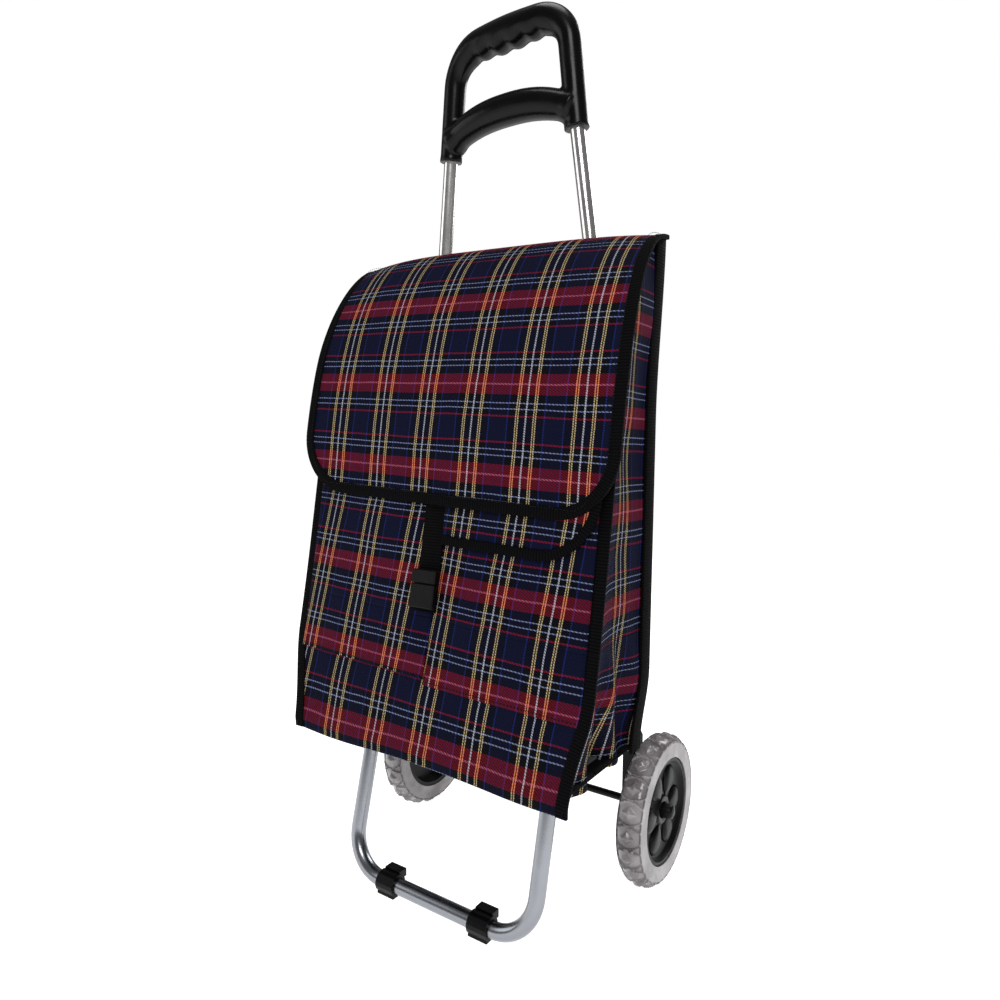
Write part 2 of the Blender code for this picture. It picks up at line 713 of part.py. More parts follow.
def make_stand(steel, plastic):
    """The folding stand: two arms under the bag, bent down into a U that stands on two clips."""
    hinge = pivot_empty("stand_hinge", STAND_PIVOT)
    bar_y = AXLE_Y - STAND_FORWARD
    knee_y = AXLE_Y - STAND_KNEE_FORWARD
    end_y = STAND_PIVOT.y + STAND_RADIUS
    corners = []
    for side in (-1, 1):
        arm = [
            Vector((side * STAND_HALF, end_y, STAND_RUN_Z)),
            Vector((side * STAND_HALF, knee_y, STAND_RUN_Z)),
            Vector((side * STAND_HALF, bar_y, STAND_BAR_Z)),
        ]
        corners += arm if side < 0 else arm[::-1]
    radii = [STAND_KNEE_RADIUS, STAND_CORNER_RADIUS, STAND_CORNER_RADIUS, STAND_KNEE_RADIUS]
    legs = as_mesh(tube("stand_tube", filleted(corners, radii), STAND_RADIUS, steel, hinge))
    across = Vector((STAND_HALF + CUT_PAST, 0, 0))
    cut(legs, cutter("stand_pivot_bore", rod(STAND_PIVOT - across, STAND_PIVOT + across, PIVOT_RADIUS + RUN)))
    for word, side in SIDES:
        make_clip(word, side, bar_y, plastic, hinge)


def make_clip(word, side, bar_y, plastic, hinge):
    """A moulded foot clip round the stand's bar, flat underneath, with a lug at its upper back."""
    outer = STAND_RADIUS + CLIP_WALL
    outline = []
    for step in range(CLIP_STEPS + 1):
        angle = math.radians(CLIP_FROM + CLIP_SWEEP * step / CLIP_STEPS)
        outline.append((bar_y + outer * math.cos(angle), STAND_BAR_Z + outer * math.sin(angle)))
    outline += [(bar_y - CLIP_SOLE * outer, 0.0), (bar_y + CLIP_SOLE * outer, 0.0)]
    half = CLIP_WIDTH / 2
    low, high = side * CLIP_HALF - half, side * CLIP_HALF + half
    bm = extruded(outline, low, high)
    obj = solid(f"foot_clip_{word}", bm, plastic, hinge)
    lug_y, lug_z = bar_y + LUG_BACK * outer, STAND_BAR_Z + LUG_UP * outer
    lug_low = (low + LUG_INSET, lug_y, lug_z)
    lug_high = (high - LUG_INSET, lug_y + CLIP_LUG + LUG_BACK * CLIP_LUG, lug_z + CLIP_LUG)
    lug = cutter(f"foot_lug_{word}", box(lug_low, lug_high))
    join = obj.modifiers.new("lug", "BOOLEAN")
    join.operation = "UNION"
    join.solver = "EXACT"
    join.object = lug
    ends = (low - CUT_PAST, bar_y, STAND_BAR_Z), (high + CUT_PAST, bar_y, STAND_BAR_Z)
    bore = rod(*ends, STAND_RADIUS + GAP, ROUND_STEPS)
    cut(obj, cutter(f"foot_bore_{word}", bore))


def make_bag(cloth, backing, board):
    """Five sewn panels and a stiff insert on the base. The top is open under the flap."""
    back_inner = BAG_BACK_Y - PANEL

    def front(inset):
        def surface(across, up):
            z = mix(BAG_BOTTOM_Z, BAG_FRONT_TOP_Z, up)
            x = mix(-1, 1, across) * front_half(z)
            return Vector((x, bag_front_y(z) + inset, z))
        return surface

    def back(inset):
        def surface(across, up):
            z = mix(BAG_BOTTOM_Z, BAG_BACK_TOP_Z, up)
            x = mix(-1, 1, across) * back_half(z)
            return Vector((x, BAG_BACK_Y - inset, z))
        return surface

    def gusset(side, inset):
        def surface(across, up):
            top = mix(BAG_FRONT_TOP_Z, BAG_BACK_TOP_Z - GUSSET_DROP, across)
            z = mix(BAG_BOTTOM_Z, top, up)
            y = mix(bag_front_y(z) + PANEL + GAP, back_inner - GAP, across)
            x = mix(front_half(z), back_half(z), across)
            return Vector((side * (x - inset), y, z))
        return surface

    def floor(z, inset):
        def surface(across, up):
            y = mix(bag_front_y(z + PANEL) + PANEL + GAP + inset, back_inner - GAP - inset, up)
            x = mix(front_half(z), back_half(z), up) - PANEL - GAP - inset
            return Vector((mix(-1, 1, across) * x, y, z))
        return surface

    solid("bag_front", sheet(front(0), front(PANEL), *FRONT_GRID), cloth)
    solid("bag_back", sheet(back(0), back(PANEL), *BACK_GRID), backing)
    for word, side in SIDES:
        solid(f"bag_gusset_{word}", sheet(gusset(side, 0), gusset(side, PANEL), *GUSSET_GRID), cloth)
    base_z = BAG_BOTTOM_Z + PANEL
    solid("bag_base", sheet(floor(base_z, 0), floor(BAG_BOTTOM_Z, 0), *BASE_GRID), backing)
    low = base_z + GAP
    skins = floor(low + INSERT_THICK, INSERT_INSET), floor(low, INSERT_INSET)
    solid("base_insert", sheet(*skins, *BASE_GRID), board)


def make_pockets(cloth, binding):
    """Two flat patch pockets side by side on the front, and the right one's own bound flap."""
    def pocket(low_x, high_x, inset):
        def surface(across, up):
            z = mix(POCKET_BOTTOM_Z, POCKET_TOP_Z, up)
            return Vector((mix(low_x, high_x, across), bag_front_y(z) - GAP - inset, z))
        return surface

    spans = {"left": (-POCKET_HALF, POCKET_SEAM_X - GAP), "right": (POCKET_SEAM_X + GAP, POCKET_HALF)}
    for word, span in spans.items():
        skins = pocket(*span, POCKET_PANEL), pocket(*span, 0)
        solid(f"front_pocket_{word}", sheet(*skins, *POCKET_GRID), cloth)

    low_x, high_x = STRAP_X + WEB_WIDTH / 2 + GAP, POCKET_HALF - 2 * BINDING_RADIUS
    lift = 2 * GAP + POCKET_PANEL

    def hem(x):
        """The lower edge, with a round outer corner."""
        past = max(x - (high_x - POCKET_FLAP_CORNER), 0.0)
        return POCKET_FLAP_DROP + POCKET_FLAP_CORNER - math.sqrt(POCKET_FLAP_CORNER**2 - past**2)

    def flap(inset):
        def surface(across, up):
            x = mix(low_x, high_x, math.sin(across * math.pi / 2))
            z = mix(hem(x), POCKET_FLAP_TOP_Z, up)
            return Vector((x, bag_front_y(z) - lift - inset, z))
        return surface

    solid("pocket_flap", sheet(flap(POCKET_PANEL), flap(0), *POCKET_FLAP_GRID), cloth)
    outline = [(low_x, POCKET_FLAP_DROP - BINDING_CLEAR)]
    turn_x, turn_z = high_x - POCKET_FLAP_CORNER, POCKET_FLAP_DROP + POCKET_FLAP_CORNER
    reach = POCKET_FLAP_CORNER + BINDING_CLEAR
    for step in range(CORNER_STEPS + 1):
        angle = math.pi / 2 * step / CORNER_STEPS
        outline.append((turn_x + reach * math.sin(angle), turn_z - reach * math.cos(angle)))
    edge = [Vector((x, bag_front_y(z) - lift - BINDING_RADIUS / 2, z)) for x, z in outline]
    tube("pocket_flap_binding", edge, BINDING_RADIUS / 2, binding, sides=CORD_SIDES)


def make_bag_bindings(binding):
    """Piping up the bag's four upright edges."""
    for word, side in SIDES:
        for place_name, half, low, high in (
            ("front", front_half, BAG_BOTTOM_Z, BAG_FRONT_TOP_Z),
            ("back", back_half, BAG_BOTTOM_Z, BAG_BACK_TOP_Z),
        ):
            points = []
            for step in range(CORD_STEPS + 1):
                z = mix(low + BINDING_RADIUS, high - BINDING_RADIUS, step / CORD_STEPS)
                x = side * (half(z) + BINDING_RADIUS + 2 * GAP)
                y = bag_front_y(z) + PANEL if place_name == "front" else BAG_BACK_Y - PANEL / 2
                points.append(Vector((x, y, z)))
            tube(f"{place_name}_binding_{word}", points, BINDING_RADIUS, binding, sides=CORD_SIDES)


def flap_half(t):
    return mix(FLAP_HALF_TOP, FLAP_HALF, ease(0.0, FLAP_SPREAD, t))


def flap_point(across, t, lift):
    """A point of the flap: across from -1 to 1, t from the hinge to the hem, lifted off the flap's line."""
    forward, height = cubic(FLAP_LINE, t)
    ahead = cubic(FLAP_LINE, min(t + 0.01, 1.0))
    behind = cubic(FLAP_LINE, max(t - 0.01, 0.0))
    along = Vector((ahead[0] - behind[0], ahead[1] - behind[1])).normalized()
    out = Vector((-along.y, along.x))
    at = Vector((forward, height)) + out * lift
    return Vector((across * flap_half(t), AXLE_Y - at.x, at.y))


def flap_hem_t(across):
    """Where the flap's hem lies on its line, so that its two lower corners are round."""
    past = max(abs(across) * FLAP_HALF - (FLAP_HALF - FLAP_CORNER), 0.0)
    rise = FLAP_CORNER - math.sqrt(max(FLAP_CORNER**2 - past**2, 0.0))
    return 1.0 - rise / FLAP_RATE


def make_flap(cloth, binding, webbing, hinge):
    """The lid: one curved sheet from the back edge over the top and down the front, bound on three sides."""
    def skin(lift):
        def surface(across, up):
            x = math.sin((across - 0.5) * math.pi)
            return flap_point(x, mix(0.0, flap_hem_t(x), up), lift)
        return surface

    solid("flap_panel", sheet(skin(FLAP_THICK), skin(0), *FLAP_GRID), cloth, hinge)
    edge = []
    reach = BINDING_RADIUS + GAP
    for side in (-1, 1):
        run = []
        for step in range(1, CORD_STEPS + 1):
            at = flap_point(side, flap_hem_t(1.0) * step / CORD_STEPS, FLAP_THICK / 2)
            run.append(at + Vector((side * reach, 0, 0)))
        corner = []
        for step in range(1, CORNER_STEPS):
            push = FLAP_CORNER_TURN * step / CORNER_STEPS
            x = math.cos(push)
            at = flap_point(side * x, flap_hem_t(x), FLAP_THICK / 2)
            out = Vector((side * reach * math.cos(push), 0, -reach * math.sin(push) - HEM_DROP))
            corner.append(at + out)
        edge += run + corner if side < 0 else (run + corner)[::-1]
    tube("flap_binding", edge, BINDING_RADIUS, binding, hinge, sides=CORD_SIDES)
    make_strap(webbing, hinge)


def strap_y(z, depth):
    """The face that the strap lies on, out from the pockets."""
    return bag_front_y(z) - 3 * GAP - POCKET_PANEL - depth


def make_strap(webbing, hinge):
    """The flap's closing strap, which runs down behind the upper buckle half."""
    end_z = BUCKLE_SPLIT_Z + RUN

    def surface_at(depth):
        def surface(across, up):
            z = mix(end_z, STRAP_TOP_Z, up)
            return Vector((STRAP_X + mix(-0.5, 0.5, across) * WEB_WIDTH, strap_y(z, depth), z))
        return surface

    solid("flap_strap", sheet(surface_at(WEB_THICK), surface_at(0), *STRAP_GRID), webbing, hinge)


def buckle_matrix():
    """From the buckle's own axes, with Z along the strap and the split at Z = 0, to the bag's front."""
    lean = front_slope(BUCKLE_SPLIT_Z)
    depth = BUCKLE_THICK / 2 + WEB_THICK + 2 * GAP
    at = Vector((STRAP_X, strap_y(BUCKLE_SPLIT_Z, depth), BUCKLE_SPLIT_Z))
    return Matrix.Translation(at) @ Matrix.Rotation(-lean, 4, "X")


def make_buckle(plastic, webbing, slider):
    """A side-release buckle: a hollow lower half, and an upper half with a tongue and two prongs."""
    half_width, half_thick = BUCKLE_WIDTH / 2, BUCKLE_THICK / 2
    place_buckle = buckle_matrix()
    shell = box((-half_width, -half_thick, -FEMALE_LENGTH), (half_width, half_thick, -RUN))
    shell.transform(place_buckle)
    female = solid("buckle_lower", shell, plastic, smooth=False)
    round_edges(female, BUCKLE_ROUND)
    hollow = box(
        (-half_width + BUCKLE_WALL, -half_thick + BUCKLE_WALL, -PRONG_LENGTH - 2 * RUN),
        (half_width - BUCKLE_WALL, half_thick - BUCKLE_WALL, CUT_PAST),
    )
    hollow.transform(place_buckle)
    cut(female, cutter("buckle_hollow", hollow))
    upper = box((-half_width, -half_thick, 0), (half_width, half_thick, MALE_LENGTH))
    upper.transform(place_buckle)
    male = solid("buckle_upper", upper, plastic, slider, smooth=False)
    round_edges(male, BUCKLE_ROUND)
    inner = half_thick - BUCKLE_WALL - RUN
    prong_x = half_width - BUCKLE_WALL - PRONG_CLEAR - PRONG_WIDTH / 2
    places = (-prong_x, PRONG_WIDTH), (0, TONGUE_WIDTH), (prong_x, PRONG_WIDTH)
    for number, (x, width) in enumerate(places):
        prong = box((x - width / 2, -inner, -PRONG_LENGTH), (x + width / 2, inner, PRONG_ROOT))
        prong.transform(place_buckle)
        join = male.modifiers.new(f"prong {number}", "BOOLEAN")
        join.operation = "UNION"
        join.solver = "EXACT"
        join.object = cutter(f"buckle_prong_{number}", prong)

    def tail(depth):
        def surface(across, up):
            z = mix(BUCKLE_SPLIT_Z - FEMALE_LENGTH, BUCKLE_SPLIT_Z, up) - STRAP_TUCK
            return Vector((STRAP_X + mix(-0.5, 0.5, across) * WEB_WIDTH, strap_y(z, depth), z))
        return surface

    solid("lower_strap", sheet(tail(WEB_THICK - GAP), tail(0), *TAIL_GRID), webbing)


def make_loops(webbing):
    """Webbing loops that hold the bag's back to the tubes: closed bands round each tube."""
    wall = WEB_THICK
    for height_word, z in (("low", LOOP_LOW_Z), ("high", LOOP_HIGH_Z)):
        for word, side in SIDES:
            at = tube_point(side, z)
            reach = TUBE_RADIUS + GAP
            lean = TUBE_LEAN * LOOP_HEIGHT / 2
            front = BAG_BACK_Y + GAP
            rear = at.y + reach + lean + wall
            half = reach + wall + BAG_CLEAR
            low = (at.x - half, front, z - LOOP_HEIGHT / 2)
            high = (at.x + half, rear, z + LOOP_HEIGHT / 2)
            obj = solid(f"bag_loop_{height_word}_{word}", box(low, high), webbing, smooth=False)
            hole_low = (low[0] + wall, front + wall, low[2] - CUT_PAST)
            hole_high = (high[0] - wall, rear - wall, high[2] + CUT_PAST)
            cut(obj, cutter(f"loop_hole_{height_word}_{word}", box(hole_low, hole_high)))


def make_trolley():
    clear_scene()
    steel = material("silver painted steel", (0.55, 0.56, 0.58), 0.32, 0.9)
    black = material("black moulded plastic", (0.012, 0.012, 0.014), 0.35)
    rubber = material("grey soft PVC", (0.42, 0.41, 0.40), 0.45)
    cloth = material("tartan polyester", (0.06, 0.03, 0.08), 0.9)
    backing = material("black polyester", (0.01, 0.01, 0.012), 0.9)
    webbing = material("black webbing", (0.008, 0.008, 0.009), 0.8)
    board = material("grey board", (0.25, 0.25, 0.25), 0.8)
    make_frame(steel, black)
    make_grip(black)
    for word, side in SIDES:
        make_wheel(word, side, rubber, black, black)
    make_stand(steel, black)
    make_bag(cloth, backing, board)
    make_pockets(cloth, webbing)
    make_bag_bindings(webbing)
    make_flap(cloth, webbing, webbing, pivot_empty("flap_hinge", FLAP_HINGE))
    slider = pivot_empty("buckle_slide", buckle_matrix().translation)
    make_buckle(black, webbing, slider)
    make_loops(webbing)


make_trolley()
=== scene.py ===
import math

import bmesh
import bpy
from mathutils import Matrix, Vector, noise


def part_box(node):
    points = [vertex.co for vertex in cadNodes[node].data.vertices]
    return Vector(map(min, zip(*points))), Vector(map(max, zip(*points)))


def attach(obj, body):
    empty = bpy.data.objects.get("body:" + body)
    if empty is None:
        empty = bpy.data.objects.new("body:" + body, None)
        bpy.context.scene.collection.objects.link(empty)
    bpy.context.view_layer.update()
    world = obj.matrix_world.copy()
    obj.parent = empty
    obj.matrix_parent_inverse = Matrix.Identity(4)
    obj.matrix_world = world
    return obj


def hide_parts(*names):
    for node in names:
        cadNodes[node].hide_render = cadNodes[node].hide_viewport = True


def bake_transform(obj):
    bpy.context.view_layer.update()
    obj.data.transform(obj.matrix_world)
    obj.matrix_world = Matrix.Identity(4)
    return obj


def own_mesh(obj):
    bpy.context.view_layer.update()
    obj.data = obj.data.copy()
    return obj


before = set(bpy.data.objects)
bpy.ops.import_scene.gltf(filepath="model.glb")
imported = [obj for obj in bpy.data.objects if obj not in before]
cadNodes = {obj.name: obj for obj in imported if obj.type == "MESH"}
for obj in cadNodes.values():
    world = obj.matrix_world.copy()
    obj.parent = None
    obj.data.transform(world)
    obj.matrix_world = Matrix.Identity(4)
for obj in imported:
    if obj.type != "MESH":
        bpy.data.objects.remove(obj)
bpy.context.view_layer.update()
print("frame:", len(cadNodes), "nodes")


# small helpers

def linear(hexColour):
    parts = [int(hexColour[i:i + 2], 16) / 255 for i in (1, 3, 5)]
    return tuple(c / 12.92 if c <= 0.04045 else ((c + 0.055) / 1.055) ** 2.4 for c in parts) + (1.0,)


def mix(a, b, share):
    return a + (b - a) * share


def ease(low, high, value):
    share = min(max((value - low) / (high - low), 0.0), 1.0)
    return share * share * (3 - 2 * share)


def addNode(tree, kind, settings=None, inputs=None):
    node = tree.nodes.new(kind)
    for key, value in (settings or {}).items():
        setattr(node, key, value)
    for key, value in (inputs or {}).items():
        if isinstance(value, bpy.types.NodeSocket):
            tree.links.new(value, node.inputs[key])
        else:
            node.inputs[key].default_value = value
    return node


def newMaterial(name, colour, roughness, **sockets):
    made = bpy.data.materials.new(name)
    made.use_nodes = True
    shader = made.node_tree.nodes["Principled BSDF"]
    shader.inputs["Base Color"].default_value = linear(colour)
    shader.inputs["Roughness"].default_value = roughness
    for key, value in sockets.items():
        shader.inputs[key.replace("_", " ")].default_value = value
    return made, made.node_tree, shader


def objectNoise(tree, scale, detail=3.0):
    spot = addNode(tree, "ShaderNodeTexCoord")
    return addNode(tree, "ShaderNodeTexNoise", inputs={
        "Vector": spot.outputs["Object"], "Scale": scale, "Detail": detail}).outputs["Fac"]


def varyRoughness(tree, shader, value, low, high):
    spread = addNode(tree, "ShaderNodeMapRange", inputs={
        "Value": value, "From Min": 0.3, "From Max": 0.7, "To Min": low, "To Max": high})
    tree.links.new(spread.outputs["Result"], shader.inputs["Roughness"])


def addBump(tree, shader, height, depthMm, strength=1.0):
    bump = addNode(tree, "ShaderNodeBump", inputs={
        "Height": height, "Distance": depthMm / 1000, "Strength": strength})
    tree.links.new(bump.outputs["Normal"], shader.inputs["Normal"])


def tintBy(tree, shader, value, dark, light):
    ramp = addNode(tree, "ShaderNodeValToRGB", inputs={"Fac": value})
    ramp.color_ramp.elements[0].position, ramp.color_ramp.elements[0].color = 0.35, linear(dark)
    ramp.color_ramp.elements[1].position, ramp.color_ramp.elements[1].color = 0.65, linear(light)
    tree.links.new(ramp.outputs["Color"], shader.inputs["Base Color"])


# materials

tartan = {
    "warpRepeat": 58.0,  # mm between the upright line groups
    "weftRepeat": 84.0,  # mm between the crimson bands
    "twill": 2.2,  # mm; twill is really nearer 1 mm, drawn coarser so that it shows
    "navy": "#070a25", "black": "#020205", "blue": "#182768", "cream": "#d2bd88", "white": "#b8bcc6",
    "pale": "#8590b6", "crimson": "#6c0b1f", "pink": "#b05068", "red": "#7c1029", "ink": "#040512",
    "orange": "#e06a40", "on": "#ffffff", "off": "#000000",
}


# (distance from the centre line where a stripe starts, its colour), both ways out from the centre
warpStripes = [(0.0, "white"), (0.7, "black"), (7.4, "cream"), (8.5, "black"), (9.7, "cream"),
               (10.8, "black"), (18.2, "blue"), (19.6, "navy")]
weftStripes = [(0.0, "pink"), (0.7, "crimson"), (9.8, "ink"), (17.3, "pale"), (18.3, "ink"),
               (22.7, "pale"), (23.7, "ink"), (29.2, "red"), (30.7, "navy")]
# where a cream thread crosses the crimson band it turns orange
warpCross = [(0.0, "off"), (7.4, "on"), (8.5, "off"), (9.7, "on"), (10.8, "off")]
weftCross = [(0.0, "on"), (9.8, "off")]


def stripeRamp(tree, share, stripes, repeat):
    half = repeat / 2
    stops = []
    for k in range(len(stripes) - 1, 0, -1):  # left of the centre, from the outside in
        stops.append((half - stripes[k][0], stripes[k - 1][1]))
    for start, colour in stripes[1:]:
        stops.append((half + start, colour))
    node = addNode(tree, "ShaderNodeValToRGB", inputs={"Fac": share})
    ramp = node.color_ramp
    ramp.interpolation = "CONSTANT"
    ramp.elements[0].position, ramp.elements[0].color = 0.0, linear(tartan[stripes[-1][1]])
    ramp.elements[1].position, ramp.elements[1].color = stops[0][0] / repeat, linear(tartan[stops[0][1]])
    for at, colour in stops[1:]:
        ramp.elements.new(at / repeat).color = linear(tartan[colour])
    return node.outputs["Color"]


def makeTartan():
    # woven polyester twill, PVC-backed: dry, matt, bright threads that break up into dots
    made, tree, shader = newMaterial("wovenPolyesterTartan", tartan["navy"], 0.85, Specular_IOR_Level=0.08)
    cloth = addNode(tree, "ShaderNodeUVMap", {"uv_map": "cloth"})
    wander = addNode(tree, "ShaderNodeTexNoise", inputs={
        "Vector": cloth.outputs["UV"], "Scale": 22.0, "Detail": 2.0})
    shift = addNode(tree, "ShaderNodeVectorMath", {"operation": "MULTIPLY_ADD"}, {
        0: wander.outputs["Color"], 1: (0.0022, 0.0022, 0.0), 2: cloth.outputs["UV"]})
    parts = addNode(tree, "ShaderNodeSeparateXYZ", inputs={0: shift.outputs[0]})
    shares = []
    for axis, repeat in (("X", tartan["warpRepeat"]), ("Y", tartan["weftRepeat"])):
        turns = addNode(tree, "ShaderNodeMath", {"operation": "MULTIPLY_ADD"}, {
            0: parts.outputs[axis], 1: 1000 / repeat, 2: 0.5})
        part = addNode(tree, "ShaderNodeMath", {"operation": "FRACT"}, {0: turns.outputs[0]})
        shares.append(part.outputs[0])
    warp = stripeRamp(tree, shares[0], warpStripes, tartan["warpRepeat"])
    weft = stripeRamp(tree, shares[1], weftStripes, tartan["weftRepeat"])
    plain = addNode(tree, "ShaderNodeSeparateXYZ", inputs={0: cloth.outputs["UV"]})
    diagonal = addNode(tree, "ShaderNodeMath", {"operation": "MULTIPLY_ADD"}, {
        0: plain.outputs["X"], 1: 0.6, 2: plain.outputs["Y"]})
    turn = addNode(tree, "ShaderNodeMath", {"operation": "MULTIPLY"}, {
        0: diagonal.outputs[0], 1: 2000 * math.pi / tartan["twill"]})
    wave = addNode(tree, "ShaderNodeMath", {"operation": "SINE"}, {0: turn.outputs[0]})
    over = addNode(tree, "ShaderNodeMapRange", inputs={
        "Value": wave.outputs[0], "From Min": -0.5, "From Max": 0.5, "To Min": 0.22, "To Max": 0.78})
    woven = addNode(tree, "ShaderNodeMix", {"data_type": "RGBA"}, {
        "Factor": over.outputs["Result"], 6: weft, 7: warp})
    crossing = addNode(tree, "ShaderNodeMath", {"operation": "MULTIPLY"}, {
        0: stripeRamp(tree, shares[0], warpCross, tartan["warpRepeat"]),
        1: stripeRamp(tree, shares[1], weftCross, tartan["weftRepeat"])})
    strength = addNode(tree, "ShaderNodeMath", {"operation": "MULTIPLY"}, {
        0: crossing.outputs[0], 1: over.outputs["Result"]})
    crossed = addNode(tree, "ShaderNodeMix", {"data_type": "RGBA"}, {
        "Factor": strength.outputs[0], 6: woven.outputs[2], 7: linear(tartan["orange"])})
    fuzz = addNode(tree, "ShaderNodeTexNoise", inputs={
        "Vector": cloth.outputs["UV"], "Scale": 900.0, "Detail": 2.0})
    shade = addNode(tree, "ShaderNodeMapRange", inputs={
        "Value": fuzz.outputs["Fac"], "From Min": 0.3, "From Max": 0.7, "To Min": 0.62, "To Max": 1.05})
    dusted = addNode(tree, "ShaderNodeMix", {"data_type": "RGBA", "blend_type": "MULTIPLY"}, {
        "Factor": 1.0, 6: crossed.outputs[2], 7: shade.outputs["Result"]})
    tree.links.new(dusted.outputs[2], shader.inputs["Base Color"])
    addBump(tree, shader, wave.outputs[0], 0.18, 0.6)
    return made


def makeCloth(name, colour, pitchMm, roughness=0.88):
    # plain black fabric: a fine regular weave, almost no shine
    made, tree, shader = newMaterial(name, colour, roughness, Specular_IOR_Level=0.06)
    spot = addNode(tree, "ShaderNodeTexCoord")
    weave = addNode(tree, "ShaderNodeTexVoronoi", {"feature": "F1", "distance": "CHEBYCHEV"}, {
        "Vector": spot.outputs["Object"], "Scale": 1000 / pitchMm, "Randomness": 0.25})
    tintBy(tree, shader, objectNoise(tree, 60.0), "#050506", colour)
    addBump(tree, shader, weave.outputs["Distance"], 0.25, 0.7)
    return made


def makeTape():
    # grosgrain tape: close ribs across its width
    made, tree, shader = newMaterial("blackGrosgrainTape", "#050506", 0.85, Specular_IOR_Level=0.05)
    path = addNode(tree, "ShaderNodeUVMap", {"uv_map": "cloth"})
    ribs = addNode(tree, "ShaderNodeTexWave", {"bands_direction": "Y"}, {
        "Vector": path.outputs["UV"], "Scale": 1000 / 1.4 / 20 * math.pi, "Distortion": 0.3})
    tintBy(tree, shader, ribs.outputs["Fac"], "#020203", "#08080a")
    addBump(tree, shader, ribs.outputs["Fac"], 0.3, 0.8)
    return made


def makeMetal(name, colour, low, high):
    # drawn steel tube under a thin silver finish: long soft highlights, faint haze
    made, tree, shader = newMaterial(name, colour, low, Metallic=1.0)
    haze = objectNoise(tree, 35.0)
    varyRoughness(tree, shader, haze, low, high)
    addBump(tree, shader, objectNoise(tree, 900.0), 0.01, 0.25)
    return made


def makePlastic(name, colour, low, high, grain, sheen=0.14):
    # injection-moulded polypropylene: tight highlight over a fine spark-eroded grain
    made, tree, shader = newMaterial(name, colour, low, IOR=1.49, Specular_IOR_Level=sheen)
    varyRoughness(tree, shader, objectNoise(tree, 40.0), low, high)
    addBump(tree, shader, objectNoise(tree, 1400.0, 2.0), grain, 0.35)
    return made


def makeTyre():
    # soft grey PVC, blow moulded: cloudy and a little see-through at thin edges
    made, tree, shader = newMaterial("greyBlownPvc", "#827e80", 0.2, IOR=1.53, Subsurface_Weight=0.06)
    shader.inputs["Subsurface Radius"].default_value = (0.004, 0.004, 0.004)
    tintBy(tree, shader, objectNoise(tree, 34.0, 5.0), "#625d60", "#918d8f")
    addBump(tree, shader, objectNoise(tree, 300.0), 0.03, 0.4)
    return made


tartanCloth = makeTartan()
blackCloth = makeCloth("blackPolyesterBacking", "#0c0c0f", 0.9)
lining = makeCloth("pvcCoatedInside", "#17171b", 0.7, 0.6)
tape = makeTape()
blackSteel = makePlastic("blackPaintedSteel", "#060607", 0.3, 0.4, 0.02)
chrome = makeMetal("brightSteelTube", "#d8d6d4", 0.14, 0.24)
silver = makeMetal("silverPaintedTube", "#8b8e94", 0.2, 0.3)
zinc = makeMetal("zincPlatedSteel", "#9c9ea2", 0.3, 0.45)
gripPlastic = makePlastic("glossyBlackPolypropylene", "#030304", 0.2, 0.3, 0.02, 0.17)
plastic = makePlastic("blackPolypropylene", "#050506", 0.34, 0.46, 0.04)
tyreRubber = makeTyre()
boardStuff = makePlastic("greyFibreboard", "#4a4a4c", 0.7, 0.85, 0.1, 0.3)
print("materials made")


# mesh makers

def link(name, mesh, *finishes):
    obj = bpy.data.objects.new(name, mesh)
    bpy.context.scene.collection.objects.link(obj)
    mesh.materials.clear()
    for finish in finishes:
        mesh.materials.append(finish)
    return obj


def place(obj, body, slotName, *nodes):
    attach(obj, body)
    if nodes:
        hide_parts(*nodes)
    return obj


def clothPanel(name, pointAt, uvAt, columns, rows, outward, thick, finish=None, inside=None):
    # one curved sheet over (across, up) from 0 to 1, given a thickness towards its inside
    bm = bmesh.new()
    grid = [[bm.verts.new(pointAt(c / columns, r / rows)) for c in range(columns + 1)]
            for r in range(rows + 1)]
    layer = bm.loops.layers.uv.new("cloth")
    for r in range(rows):
        for c in range(columns):
            corners = ((r, c), (r, c + 1), (r + 1, c + 1), (r + 1, c))
            face = bm.faces.new([grid[i][j] for i, j in corners])
            face.smooth = True
            for loop, (i, j) in zip(face.loops, corners):
                loop[layer].uv = uvAt(j / columns, i / rows)
    bm.normal_update()
    if sum((f.normal for f in bm.faces), Vector()).dot(Vector(outward)) < 0:
        bmesh.ops.reverse_faces(bm, faces=bm.faces)
    mesh = bpy.data.meshes.new(name)
    bm.to_mesh(mesh)
    bm.free()
    obj = link(name, mesh, finish or tartanCloth, inside or lining)
    wall = obj.modifiers.new("thickness", "SOLIDIFY")
    wall.thickness = thick
    wall.offset = -1.0
    wall.material_offset = 1
    wall.material_offset_rim = 0
    return obj


